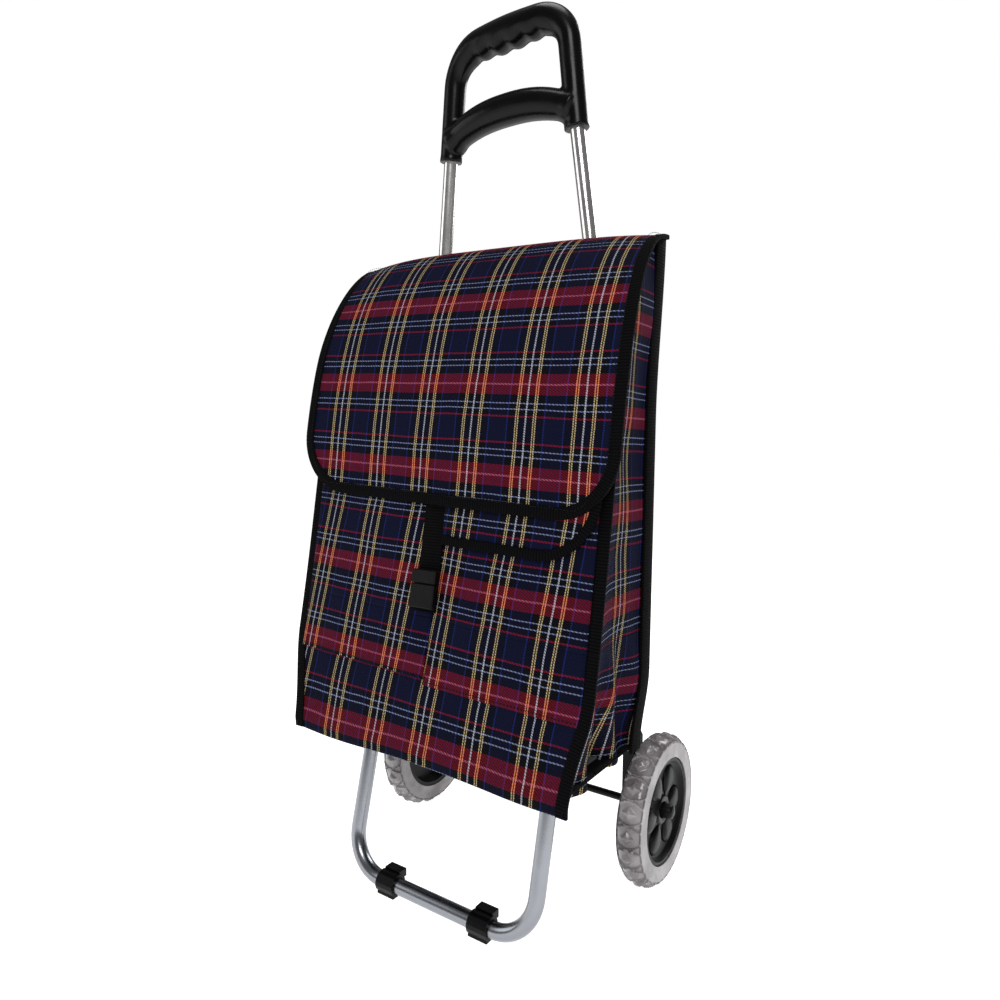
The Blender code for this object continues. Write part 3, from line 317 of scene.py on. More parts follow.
def sweep(name, path, profile, outAt, finish, closed=False, swell=None, smooth=True):
    # a closed (side, out) profile carried along a path; outAt(k) is the surface normal there
    bm = bmesh.new()
    layer = bm.loops.layers.uv.new("cloth")
    count, size = len(path), len(profile)
    rings, along = [], [0.0]
    for k, at in enumerate(path):
        before = path[k - 1] if k or closed else path[0]
        after = path[(k + 1) % count] if k < count - 1 or closed else path[-1]
        tangent = (after - before).normalized()
        out = outAt(k)
        out = (out - tangent * out.dot(tangent)).normalized()
        side = tangent.cross(out)
        grow = swell[k] if swell else 1.0
        rings.append([bm.verts.new(at + side * a * grow + out * b * grow) for a, b in profile])
        if k:
            along.append(along[-1] + (at - path[k - 1]).length)
    girth = [0.0]
    for i in range(size):
        a, b = profile[i], profile[(i + 1) % size]
        girth.append(girth[-1] + math.hypot(b[0] - a[0], b[1] - a[1]))
    if closed:
        along.append(along[-1] + (path[0] - path[-1]).length)
    for k in range(count if closed else count - 1):
        here, after = rings[k], rings[(k + 1) % count]
        for i in range(size):
            j = (i + 1) % size
            face = bm.faces.new((here[i], here[j], after[j], after[i]))
            face.smooth = smooth
            spots = ((girth[i], along[k]), (girth[i + 1], along[k]),
                     (girth[i + 1], along[k + 1]), (girth[i], along[k + 1]))
            for loop, spot in zip(face.loops, spots):
                loop[layer].uv = spot
    if not closed:
        bm.faces.new(rings[0][::-1])
        bm.faces.new(rings[-1])
    bmesh.ops.recalc_face_normals(bm, faces=bm.faces)
    mesh = bpy.data.meshes.new(name)
    bm.to_mesh(mesh)
    bm.free()
    mesh.set_sharp_from_angle(angle=math.radians(50))
    return link(name, mesh, finish)


def roundProfile(radius, sides=32, squash=1.0):
    turns = [2 * math.pi * k / sides for k in range(sides)]
    return [(radius * math.cos(t), radius * squash * math.sin(t)) for t in turns]


def tapeProfile(inner, outer, low, high, corner=0.0007):
    # a flat tape with rounded edges: inner to outer across, low to high through
    points = []
    for (a, b), start in (((outer - corner, high - corner), 0), ((inner + corner, high - corner), 90),
                          ((inner + corner, low + corner), 180), ((outer - corner, low + corner), 270)):
        for step in (0, 45, 90):
            turn = math.radians(start + step)
            points.append((a + corner * math.cos(turn), b + corner * math.sin(turn)))
    return points


def filleted(corners, radii, steps=14):
    points = [corners[0]]
    for before, corner, after, radius in zip(corners, corners[1:], corners[2:], radii):
        arrive, leave = (before - corner).normalized(), (after - corner).normalized()
        half = arrive.angle(leave) / 2
        start, end = corner + arrive * radius / math.tan(half), corner + leave * radius / math.tan(half)
        centre = corner + (arrive + leave).normalized() * (radius / math.sin(half))
        first, last = start - centre, end - centre
        turn = first.angle(last)
        for step in range(steps + 1):
            share = step / steps
            bent = first * math.sin((1 - share) * turn) + last * math.sin(share * turn)
            points.append(centre + bent / math.sin(turn))
    return points + [corners[-1]]


def lathe(name, profile, centre, steps, finish, side=1):
    # (x, radius) points from the inside face to the outside face, turned about the wheel's X axis
    bm = bmesh.new()
    rings = []
    for k in range(steps):
        turn = 2 * math.pi * k / steps
        spoke = Vector((0, math.cos(turn), math.sin(turn)))
        rings.append([bm.verts.new(centre + Vector((side * x, 0, 0)) + spoke * max(r, 1e-5))
                      for x, r in profile])
    for k in range(steps):
        here, after = rings[k], rings[(k + 1) % steps]
        for i in range(len(profile) - 1):
            bm.faces.new((here[i], here[i + 1], after[i + 1], after[i])).smooth = True
    bmesh.ops.remove_doubles(bm, verts=bm.verts, dist=4e-5)
    bmesh.ops.recalc_face_normals(bm, faces=bm.faces)
    mesh = bpy.data.meshes.new(name)
    bm.to_mesh(mesh)
    bm.free()
    mesh.set_sharp_from_angle(angle=math.radians(40))
    return link(name, mesh, finish)


# geometry node trees: one repeats a shape round an axis, one lays stitches along a path

def newTree(name, inputs):
    tree = bpy.data.node_groups.new(name, "GeometryNodeTree")
    tree.interface.new_socket("Geometry", in_out="INPUT", socket_type="NodeSocketGeometry")
    for label, kind in inputs:
        tree.interface.new_socket(label, in_out="INPUT", socket_type=kind)
    tree.interface.new_socket("Geometry", in_out="OUTPUT", socket_type="NodeSocketGeometry")
    return tree, addNode(tree, "NodeGroupInput")


def finishTree(tree, source, geometry):
    real = addNode(tree, "GeometryNodeRealizeInstances", inputs={0: geometry})
    merged = addNode(tree, "GeometryNodeMergeByDistance", inputs={
        "Geometry": real.outputs[0], "Distance": source.outputs["Merge"]})
    painted = addNode(tree, "GeometryNodeSetMaterial", inputs={
        "Geometry": merged.outputs[0], "Material": source.outputs["Finish"]})
    addNode(tree, "NodeGroupOutput", inputs={0: painted.outputs[0]})
    return tree


def makeRingTree():
    tree, source = newTree("repeatRoundAxle", [
        ("Count", "NodeSocketInt"), ("Merge", "NodeSocketFloat"), ("Finish", "NodeSocketMaterial")])
    points = addNode(tree, "GeometryNodePoints", inputs={"Count": source.outputs["Count"]})
    index = addNode(tree, "GeometryNodeInputIndex")
    share = addNode(tree, "ShaderNodeMath", {"operation": "DIVIDE"}, {
        0: index.outputs[0], 1: source.outputs["Count"]})
    angle = addNode(tree, "ShaderNodeMath", {"operation": "MULTIPLY"}, {0: share.outputs[0], 1: 2 * math.pi})
    turn = addNode(tree, "FunctionNodeAxisAngleToRotation", inputs={
        "Axis": (1.0, 0.0, 0.0), "Angle": angle.outputs[0]})
    copies = addNode(tree, "GeometryNodeInstanceOnPoints", inputs={
        "Points": points.outputs[0], "Instance": source.outputs["Geometry"], "Rotation": turn.outputs[0]})
    return finishTree(tree, source, copies.outputs[0])


def makeStitchTree():
    tree, source = newTree("stitchesAlongPath", [
        ("Pitch", "NodeSocketFloat"), ("Length", "NodeSocketFloat"), ("Width", "NodeSocketFloat"),
        ("Merge", "NodeSocketFloat"), ("Finish", "NodeSocketMaterial")])
    curve = addNode(tree, "GeometryNodeMeshToCurve", inputs={"Mesh": source.outputs["Geometry"]})
    spaced = addNode(tree, "GeometryNodeResampleCurve", inputs={"Curve": curve.outputs[0]})
    if "Mode" in spaced.inputs:
        spaced.inputs["Mode"].default_value = "Length"
    else:
        spaced.mode = "LENGTH"
    tree.links.new(source.outputs["Pitch"], spaced.inputs["Length"])
    tangent = addNode(tree, "GeometryNodeInputTangent")
    turn = addNode(tree, "FunctionNodeAlignRotationToVector", {"axis": "Z"}, {"Vector": tangent.outputs[0]})
    bead = addNode(tree, "GeometryNodeMeshUVSphere", inputs={"Segments": 6, "Rings": 4, "Radius": 0.5})
    size = addNode(tree, "ShaderNodeCombineXYZ", inputs={
        "X": source.outputs["Width"], "Y": source.outputs["Width"], "Z": source.outputs["Length"]})
    copies = addNode(tree, "GeometryNodeInstanceOnPoints", inputs={
        "Points": spaced.outputs[0], "Instance": bead.outputs[0],
        "Rotation": turn.outputs[0], "Scale": size.outputs[0]})
    return finishTree(tree, source, copies.outputs[0])


ringTree, stitchTree = makeRingTree(), makeStitchTree()


def bakeTree(obj, tree, values):
    # runs a tree on obj and swaps obj for the plain mesh that comes out
    modifier = obj.modifiers.new("repeat", "NODES")
    modifier.node_group = tree
    sockets = {item.name: item.identifier for item in tree.interface.items_tree if item.in_out == "INPUT"}
    for label, value in values.items():
        modifier[sockets[label]] = value
    graph = bpy.context.evaluated_depsgraph_get()
    mesh = bpy.data.meshes.new_from_object(obj.evaluated_get(graph))
    name = obj.name
    bpy.data.objects.remove(obj, do_unlink=True)
    mesh.shade_smooth()
    made = bpy.data.objects.new(name, mesh)
    bpy.context.scene.collection.objects.link(made)
    return made


stitchLook = {"pitch": 0.0036, "length": 0.0026, "width": 0.0007}
threadBlack = makeCloth("polyesterThread", "#1c1c20", 0.3, 0.6)


def stitchRow(name, path):
    mesh = bpy.data.meshes.new(name)
    mesh.from_pydata([tuple(p) for p in path], [(k, k + 1) for k in range(len(path) - 1)], [])
    obj = link(name, mesh)
    return bakeTree(obj, stitchTree, {
        "Pitch": stitchLook["pitch"], "Length": stitchLook["length"], "Width": stitchLook["width"],
        "Merge": 0.0, "Finish": threadBlack})


# the bag's own surfaces, from the same lines as the frame's soft solids

bag = {
    "frontLine": ((-0.1459, 0.172), (-0.0865, 0.3825), (-0.0967, 0.6563), (0.004, 0.6695)),  # (y, z)
    "baseHalf": 0.162, "half": 0.1755, "backHalf": 0.170, "flareZ": 0.260, "backFlareZ": 0.500,
    "backY": 0.004, "bottomZ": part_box("bag_front")[0][2], "frontTopZ": 0.640, "backTopZ": 0.6722,
    "foldZ": 0.300,  # the panels are split in two here; on the real bag the cloth below this crumples when the stand folds up
    "lean": 0.05, "hemLean": 0.018,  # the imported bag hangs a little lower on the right, less so at its base
    "hemSink": 0.009,  # the front hangs this far below the base
    "sinkLeft": 0.010, "sinkRight": 0.005,  # the lid and the top of the back sink at their sides
    "strapX": -0.005,
    "thick": 0.0014,
    "foldedShare": 0.24,
}


def cubic(line, t):
    weights = ((1 - t) ** 3, 3 * t * (1 - t) ** 2, 3 * t * t * (1 - t), t ** 3)
    return sum(w * p[0] for w, p in zip(weights, line)), sum(w * p[1] for w, p in zip(weights, line))


lineSteps = 400
frontTable = [cubic(bag["frontLine"], k / lineSteps) for k in range(lineSteps + 1)]
frontArc = [0.0]
for first, second in zip(frontTable, frontTable[1:]):
    frontArc.append(frontArc[-1] + math.dist(first, second))


def atHeight(z):
    # (y, arc length up from the hem) of the front face
    low, high = 0, lineSteps
    while high - low > 1:
        middle = (low + high) // 2
        low, high = (middle, high) if frontTable[middle][1] < z else (low, middle)
    share = min(max((z - frontTable[low][1]) / (frontTable[high][1] - frontTable[low][1]), 0.0), 1.0)
    return mix(frontTable[low][0], frontTable[high][0], share), mix(frontArc[low], frontArc[high], share)


def frontHalf(z):
    return mix(bag["baseHalf"], bag["half"], ease(bag["bottomZ"], bag["flareZ"], z))


def backHalf(z):
    low = mix(bag["baseHalf"], bag["backHalf"], ease(bag["bottomZ"], bag["flareZ"], z))
    return mix(low, bag["half"], ease(bag["backFlareZ"], bag["backTopZ"], z))


def hang(x, y, z):
    lean = mix(bag["hemLean"], bag["lean"], ease(bag["bottomZ"], bag["foldZ"], z))
    return Vector((x, y, z - lean * x))


def topSink(x, z):
    # the lid sinks at its sides, and the top of the back sinks with it
    deepest = bag["sinkLeft"] if x < 0 else bag["sinkRight"]
    return deepest * abs(x / bag["half"]) ** 4 * ease(bag["backTopZ"] - 0.030, bag["backTopZ"], z)


def ripple(x, z, scale, seed):
    return noise.noise(Vector((x * scale, z * scale * 0.8, seed)))


def strapPull(x, z):
    # the tight strap holds the cloth flat behind it, so the buckle's half slides up freely
    return 1 - 0.9 * math.exp(-((x - bag["strapX"]) / 0.032) ** 2) * ease(0.26, 0.31, z) * ease(0.47, 0.43, z)


def hemSink(z):
    return bag["hemSink"] * ease(bag["bottomZ"] + 0.05, bag["bottomZ"], z)


def frontPoint(x, z, lift=0.0):
    # soft swell between the edges, a few shallow dents, and a wavy hem over the stand
    y = atHeight(z)[0]
    across = x / frontHalf(z)
    pull = strapPull(x, z)
    swell = 0.0035 * (1 - across * across) * ease(bag["bottomZ"], bag["bottomZ"] + 0.06, z) * pull
    dents = 0.0022 * ripple(x, z, 11.0, 2.0) * (1 - across ** 4) * pull
    hemWave = ease(bag["bottomZ"] + 0.05, bag["bottomZ"], z)
    drop = hemWave * 0.0020 * (math.cos(across * math.pi * 1.35) - 0.2)
    tuckedUnder = 0.003 * ease(bag["bottomZ"] + 0.013, bag["bottomZ"], z) ** 2
    return hang(x, y - swell - dents - lift + tuckedUnder, z) + Vector((0, 0, drop - hemSink(z)))


def gussetPoint(side, depth, z):
    # depth 0 at the front edge and 1 at the back edge; the side is tucked in along its middle
    y = mix(atHeight(z)[0], bag["backY"], depth)
    x = mix(frontHalf(z), backHalf(z), depth)
    tuck = math.sin(math.pi * depth)
    low = ease(0.330, 0.190, z)
    crease = 0.006 * tuck * ease(0.640, 0.400, z) + 0.008 * tuck * low
    folds = low * 0.0095 * math.sin(46 * z + 16 * depth + side) * tuck
    dents = 0.003 * ripple(y, z, 20.0, 5.0 + side) * tuck
    sink = topSink(side * x, z) * ease(0.85, 1.0, depth) + hemSink(z) * (1 - depth)
    return hang(side * (x - crease + folds + dents), y, z - sink)


def rideBag(obj, node=None, slotName="tartan_cloth", low=False):
    place(obj, "frame", slotName, *([node] if node else []))
    if low:
        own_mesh(obj)


levels = (("upper", bag["foldZ"], None), ("lower", bag["bottomZ"], bag["foldZ"]))
frontPattern = {"across": -0.0450, "up": 0.0185, "slant": 0.10}


def frontUv(x, z, pattern):
    shift = pattern["slant"] * (z - 0.25)
    return (x - pattern["across"] - shift, atHeight(z)[1] - pattern["up"])


for word, lowZ, highZ in levels:
    topZ = highZ or bag["frontTopZ"]
    rows = 60 if word == "upper" else 40

    def frontAt(across, up, lowZ=lowZ, topZ=topZ):
        z = mix(lowZ, topZ, up)
        return frontPoint(mix(-1, 1, across) * frontHalf(z), z)

    def frontUvAt(across, up, lowZ=lowZ, topZ=topZ):
        z = mix(lowZ, topZ, up)
        return frontUv(mix(-1, 1, across) * frontHalf(z), z, frontPattern)

    panel = clothPanel(f"bagFront_{word}", frontAt, frontUvAt, 80, rows, (0, -1, 0), bag["thick"])
    rideBag(panel, "bag_front" if word == "upper" else None, low=word == "lower")

    for sideWord, side in (("left", -1), ("right", 1)):
        def topOf(depth, word=word):
            return mix(bag["frontTopZ"], bag["backTopZ"], depth) if word == "upper" else bag["foldZ"]

        def gussetAt(depth, up, side=side, lowZ=lowZ, topOf=topOf):
            return gussetPoint(side, depth, mix(lowZ, topOf(depth), up))

        def gussetUvAt(depth, up, lowZ=lowZ, topOf=topOf):
            z = mix(lowZ, topOf(depth), up)
            y = mix(atHeight(z)[0], bag["backY"], depth)
            return (y - bag["backY"] + 0.058, z - 0.1760 + 0.013)

        gusset = clothPanel(
            f"bagGusset_{sideWord}_{word}", gussetAt, gussetUvAt, 36, rows, (side, 0, 0), bag["thick"])
        node = f"bag_gusset_{sideWord}" if word == "upper" else None
        rideBag(gusset, node, low=word == "lower")

    backTop = highZ or bag["backTopZ"]

    def backAt(across, up, lowZ=lowZ, backTop=backTop):
        z = mix(lowZ, backTop, up)
        x = mix(-1, 1, across) * backHalf(z)
        return hang(x, bag["backY"] - 0.0012 + 0.0010 * ripple(x, z, 9.0, 8.0), z - topSink(x, z))

    def backUvAt(across, up):
        return (across, up)

    back = clothPanel(f"bagBack_{word}", backAt, backUvAt, 40, 24, (0, 1, 0), bag["thick"], blackCloth)
    rideBag(back, "bag_back" if word == "upper" else None, "black_cloth", word == "lower")
print("bag panels made")


def baseAt(across, up):
    # the floor of the bag, level over the stand's arms and lifted where the bag hangs high
    y = mix(atHeight(bag["bottomZ"])[0] + 0.007, bag["backY"] - 0.002, up)
    x = mix(-1, 1, across) * (bag["baseHalf"] - 0.001)
    return Vector((x, y, bag["bottomZ"] + 0.0012 + max(-bag["hemLean"] * x, 0.0)))


base = clothPanel("bagBase", baseAt, lambda a, b: (a, b), 40, 16, (0, 0, -1), 0.0014, blackCloth)
rideBag(base, "bag_base", "black_cloth", low=True)


def insertAt(across, up):
    at = baseAt(mix(0.04, 0.96, across), mix(0.06, 0.94, up))
    return at + Vector((0, 0, 0.0052))


insert = clothPanel("baseInsert", insertAt, lambda a, b: (a, b), 24, 8, (0, 0, 1), 0.0025,
                    boardStuff, boardStuff)
rideBag(insert, "base_insert", "board", low=True)


# bindings up the bag's edges

def frontNormal(z):
    above, below = atHeight(z + 0.004)[0], atHeight(z - 0.004)[0]
    return Vector((0, -0.008, above - below)).normalized()


edging = {"front": tapeProfile(-0.0030, 0.0080, -0.0020, 0.0016),
          "back": tapeProfile(-0.0175, 0.0025, -0.0012, 0.0018)}

for word, lowZ, highZ in levels:
    for sideWord, side in (("left", -1), ("right", 1)):
        steps = 60 if word == "upper" else 30
        for end in ("front", "back"):
            topZ = highZ or (bag["frontTopZ"] if end == "front" else bag["backTopZ"] - 0.001)
            heights = [mix(lowZ, topZ, k / steps) for k in range(steps + 1)]
            if end == "front":
                path = [frontPoint(side * frontHalf(z), z) for z in heights]
                outs = [frontNormal(z) for z in heights]
                flip = -side
            else:
                path = [gussetPoint(side, 1.0, z) for z in heights]
                outs = [Vector((side, 0, 0)) for z in heights]
                flip = side
            # the profile's side axis runs along tangent x out, so it is turned to face into the panel
            profile = [(a * flip, b) for a, b in edging[end]]
            trim = sweep(f"{end}Binding_{sideWord}_{word}", path, profile, lambda k: outs[k], tape)
            node = f"{end}_binding_{sideWord}" if word == "upper" else None
            rideBag(trim, node, "webbing", word == "lower")

print("bag bindings made")


# pockets

pocket = {
    "half": 0.168, "bottomZ": 0.243, "topZ": 0.420, "seamX": 0.003,
    "lift": 0.0022, "puff": 0.0030, "drop": 0.005,
    "pattern": {
        "left": {"across": -0.0400, "up": 0.0865, "slant": 0.11},
        "right": {"across": 0.0120, "up": 0.0825, "slant": 0.09},
    },
}
pocketSpans = {"left": (-pocket["half"], pocket["seamX"] - 0.0006),
               "right": (pocket["seamX"] + 0.0006, pocket["half"])}


def pocketPoint(word, across, z, extra=0.0):
    low, high = pocketSpans[word]
    x = mix(low, high, across)
    rise = (z - pocket["bottomZ"]) / (pocket["topZ"] - pocket["bottomZ"])
    soft = math.sin(math.pi * min(max(across, 0.0), 1.0)) ** 0.5
    puff = pocket["puff"] * soft * math.sin(math.pi * min(max(rise, 0.0), 1.0) ** 0.7)
    dents = 0.0012 * ripple(x, z, 24.0, 11.0) * soft
    sag = pocket["drop"] * ease(0.30, bag["foldZ"] - 0.06, z) if word == "right" else 0.0
    at = frontPoint(x, z, pocket["lift"] + puff + dents + extra)
    return at - Vector((0, 0, sag))


for word in ("left", "right"):
    for level, lowZ, highZ in (("upper", bag["foldZ"], pocket["topZ"]),
                               ("lower", pocket["bottomZ"], bag["foldZ"])):
        def pocketAt(across, up, word=word, lowZ=lowZ, highZ=highZ):
            return pocketPoint(word, across, mix(lowZ, highZ, up))

        def pocketUvAt(across, up, word=word, lowZ=lowZ, highZ=highZ):
            x = mix(*pocketSpans[word], across)
            return frontUv(x, mix(lowZ, highZ, up), pocket["pattern"][word])

        cloth = clothPanel(f"frontPocket_{word}_{level}", pocketAt, pocketUvAt, 44, 32, (0, -1, 0), 0.0012)
        rideBag(cloth, f"front_pocket_{word}" if level == "upper" else None, low=level == "lower")
        size = (pocketSpans[word][1] - pocketSpans[word][0], atHeight(highZ)[1] - atHeight(lowZ)[1])
    seamZ = pocket["bottomZ"] + 0.003
    row = [pocketPoint(word, k / 40, seamZ, 0.0003) for k in range(1, 40)]
    rideBag(stitchRow(f"pocketStitch_{word}", row), None, "webbing", True)

pocketFlap = {"lowX": 0.009, "highX": 0.164, "dropZ": 0.378, "topZ": 0.440, "corner": 0.050, "lift": 0.0072,
              "pattern": {"across": 0.0200, "up": 0.2495, "slant": 0.09}}


def pocketFlapHem(x):
    past = max(x - (pocketFlap["highX"] - pocketFlap["corner"]), 0.0)
    corner = pocketFlap["corner"]
    return pocketFlap["dropZ"] + corner - math.sqrt(max(corner ** 2 - past ** 2, 0.0))


def pocketFlapX(across):
    return mix(pocketFlap["lowX"], pocketFlap["highX"], math.sin(across * math.pi / 2))


def pocketFlapAt(across, up):
    x = pocketFlapX(across)
    return frontPoint(x, mix(pocketFlapHem(x), pocketFlap["topZ"], up), pocketFlap["lift"])


def pocketFlapUv(across, up):
    x = pocketFlapX(across)
    return frontUv(x, mix(pocketFlapHem(x), pocketFlap["topZ"], up), pocketFlap["pattern"])


lid = clothPanel("pocketFlap", pocketFlapAt, pocketFlapUv, 48, 16, (0, -1, 0), 0.0012)
rideBag(lid, "pocket_flap")
lidPath = [pocketFlapAt(k / 60, 0.0) for k in range(61)]
lidTrim = sweep("pocketFlapBinding", lidPath, tapeProfile(-0.0012, 0.0078, -0.0018, 0.0012),
                lambda k: Vector((0, -1, 0.15)), tape)
rideBag(lidTrim, "pocket_flap_binding", "webbing")
print("pockets made")


# lid flap

flap = {
    "line": ((0.0028, 0.673), (-0.055, 0.668), (-0.096, 0.575), (-0.110, 0.408)),  # (y, z) from hinge to hem
    "halfTop": 0.180, "half": 0.186, "corner": 0.060, "thick": 0.0018,
    "pattern": {"across": -0.0220, "down": 0.1040},
}
flapTable = [cubic(flap["line"], k / lineSteps) for k in range(lineSteps + 1)]
flapArc = [0.0]
for first, second in zip(flapTable, flapTable[1:]):
    flapArc.append(flapArc[-1] + math.dist(first, second))
flapLength = flapArc[-1]


def flapLine(s):
    # (y, z) and the outward normal at a distance down from the hinge
    low, high = 0, lineSteps
    while high - low > 1:
        middle = (low + high) // 2
        low, high = (middle, high) if flapArc[middle] < s else (low, middle)
    share = min(max((s - flapArc[low]) / (flapArc[high] - flapArc[low]), 0.0), 1.0)
    y = mix(flapTable[low][0], flapTable[high][0], share)
    z = mix(flapTable[low][1], flapTable[high][1], share)
    along = Vector((0, flapTable[high][0] - flapTable[low][0],
                    flapTable[high][1] - flapTable[low][1])).normalized()
    return y, z, Vector((0, along.z, -along.y))


def flapHalf(s):
    return mix(flap["halfTop"], flap["half"], ease(0, 0.6 * flapLength, s))


def flapPoint(x, s, lift=0.0):
    y, z, out = flapLine(s)
    low = ease(0.12, flapLength, s)
    wave = low * (0.0016 * math.sin(x * 30 + 0.8) + 0.0014 * ripple(x, s, 9.0, 3.0))
    droop = topSink(x, bag["backTopZ"]) * ease(0.17, 0.0, s)
    droop += 0.0014 * ease(0.030, 0.0, s)  # sewn down onto the top of the back
    return hang(x, y, z) + out * (flap["thick"] + lift + wave - droop)


def flapEnd(x):
    past = max(abs(x) - (flap["half"] - flap["corner"]), 0.0)
    return flapLength - flap["corner"] + math.sqrt(max(flap["corner"] ** 2 - past ** 2, 0.0))


def flapSpot(across, down):
    turn = math.sin((across - 0.5) * math.pi)
    x = turn * flap["half"]
    s = down * flapEnd(x)
    return turn * flapHalf(s), s


flapCloth = clothPanel(
    "flapCloth", lambda a, b: flapPoint(*flapSpot(a, b)),
    lambda a, b: (flapSpot(a, b)[0] - flap["pattern"]["across"], flap["pattern"]["down"] - flapSpot(a, b)[1]),
    96, 90, (0, -1, 1), flap["thick"])


def hinged(obj, slotName, *nodes):
    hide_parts(*nodes)
    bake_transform(obj)


hinged(flapCloth, "tartan_cloth", "flap_panel")

stitchInset = 0.0082
straight = flapLength - flap["corner"]
sideRun = [(flapHalf(straight * k / 60), straight * k / 60) for k in range(61)]
cornerRun = [(flap["half"] - flap["corner"] + flap["corner"] * math.cos(t),
              straight + flap["corner"] * math.sin(t))
             for t in [math.pi / 2 * k / 20 for k in range(1, 21)]]
hemRun = [(mix(flap["half"] - flap["corner"], 0, k / 30), flapLength) for k in range(1, 31)]
halfEdge = sideRun + cornerRun + hemRun
fullEdge = [(-x, s) for x, s in halfEdge] + halfEdge[-2::-1]
edgePath = [flapPoint(x, s, -flap["thick"] / 2) for x, s in fullEdge]
edgeOuts = [flapLine(s)[2] for x, s in fullEdge]
flapTrim = sweep("flapBinding", edgePath, tapeProfile(-0.0095, 0.0014, -0.0021, 0.0021),
                 lambda k: edgeOuts[k], tape)
hinged(flapTrim, "webbing", "flap_binding")
innerEdge = []
for x, s in fullEdge:
    down = min(s, flapLength - stitchInset) if s > straight else s
    innerEdge.append(flapPoint(x * (1 - stitchInset / flap["half"]), down, 0.0023))
hinged(stitchRow("flapStitch", innerEdge), "webbing")
print("flap made")


# strap and buckle

strap = {"x": bag["strapX"], "width": 0.025, "thick": 0.0018, "topZ": 0.420, "splitZ": 0.332,
         "pocketLift": 0.0034}


def strapFace(z, depth=0.0):
    return frontPoint(strap["x"], z, strap["pocketLift"] + depth)


def webbingPath(lowZ, highZ, depth, steps=24):
    return [strapFace(mix(highZ, lowZ, k / steps), depth) for k in range(steps + 1)]


webHalf, webSkin = strap["width"] / 2, strap["thick"] / 2
webProfile = tapeProfile(-webHalf, webHalf, -webSkin, webSkin, 0.0006)
flapStrap = sweep("flapStrap", webbingPath(strap["splitZ"] + 0.0005, strap["topZ"], 0.0009), webProfile,
                  lambda k: Vector((0, -1, 0.15)), tape)
place(flapStrap, "flap", "webbing", "flap_strap")
strapEnds = [corner[2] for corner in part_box("lower_strap")]
lowerStrap = sweep("lowerStrap", webbingPath(*strapEnds, 0.0009, 10),
                   webProfile, lambda k: Vector((0, -1, 0.15)), tape)
rideBag(lowerStrap, "lower_strap", "webbing")

for node in ("buckle_lower", "buckle_upper"):
    soft = cadNodes[node]
    soft.data.materials.clear()
    soft.data.materials.append(plastic)


# tubes

tubing = {"radius": 0.0075, "bendZ": 0.622, "converge": 0.12, "lean": 0.0594, "bend": 0.25,
          "standRadius": 0.008, "axleY": 0.070, "axleZ": 0.080, "ahead": 0.020}
lowX, footZ, tubeTopZ = 0.099, 0.1565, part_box("frame_tube_right")[1][2]


def tubeLine(side, z):
    y = tubing["axleY"] - tubing["ahead"] - tubing["lean"] * (z - tubing["axleZ"])
    return Vector((side * (lowX - max(z - tubing["bendZ"], 0.0) * tubing["converge"]), y, z))


for word, side in (("left", -1), ("right", 1)):
    route = filleted([tubeLine(side, z) for z in (footZ, tubing["bendZ"], tubeTopZ)], [tubing["bend"]])
    upright = sweep(f"frameTube_{word}", route, roundProfile(tubing["radius"]),
                    lambda k: Vector((0, -1, 0)), chrome)
    place(upright, "frame", "silver_tube", f"frame_tube_{word}")

stand = {"half": 0.113, "barY": -0.1115, "kneeY": -0.0757, "endY": 0.015, "runZ": 0.163, "barZ": 0.011,
         "kneeRadius": 0.030, "cornerRadius": 0.042}
arm = [Vector((stand["half"], stand["endY"], stand["runZ"])),
       Vector((stand["half"], stand["kneeY"], stand["runZ"])),
       Vector((stand["half"], stand["barY"], stand["barZ"]))]
mirrored = [Vector((-p.x, p.y, p.z)) for p in arm]
radii = [stand["kneeRadius"], stand["cornerRadius"], stand["cornerRadius"], stand["kneeRadius"]]
standPath = filleted(mirrored + arm[::-1], radii)
turning = []
for k, at in enumerate(standPath):
    ahead = standPath[min(k + 1, len(standPath) - 1)] - standPath[max(k - 1, 0)]
    across = abs(ahead.x) > abs(ahead.y) + abs(ahead.z)
    turning.append(Vector((0, 1, 0.25)).cross(ahead).normalized() if across else Vector((1, 0, 0)))
carried = [Vector((1, 0, 0))]
for k in range(1, len(standPath)):
    ahead = (standPath[min(k + 1, len(standPath) - 1)] - standPath[k - 1]).normalized()
    carried.append((carried[-1] - ahead * carried[-1].dot(ahead)).normalized())
standTube = sweep("standTube", standPath, roundProfile(tubing["standRadius"]), lambda k: carried[k], silver)
place(standTube, "stand", "silver_tube", "stand_tube")
print("tubes made")


# grip: swept bars fused by a fine remesh, so that every joint has a moulded fillet

grip = {"rimZ": 0.780, "topZ": 0.8905, "corner": 0.040, "leg": 0.0120, "bar": 0.0172, "lowZ": 0.8155,
        "lowRadius": 0.0160, "drop": 0.015, "bow": 0.005, "tilt": 0.004, "square": 0.003,
        "grooves": 4, "grooveDepth": 0.0030, "voxel": 0.0013}


def gripLoop():
    topX = tubeLine(1, grip["topZ"]).x
    ridge = Vector((0, tubeLine(1, grip["topZ"]).y, grip["topZ"]))
    rise = Vector((grip["square"], 0, grip["tilt"]))
    corners = [tubeLine(-1, grip["rimZ"]), ridge - Vector((topX, 0, 0)), ridge + Vector((topX, 0, 0)) + rise,
               tubeLine(1, grip["rimZ"])]
    rough = filleted(corners, [grip["corner"], grip["corner"] - 0.006], 16)
    path = []
    for here, after in zip(rough, rough[1:]):
        pieces = max(int((after - here).length / 0.002), 1)
        path += [here.lerp(after, k / pieces) for k in range(pieces)]
    return path + [rough[-1]]


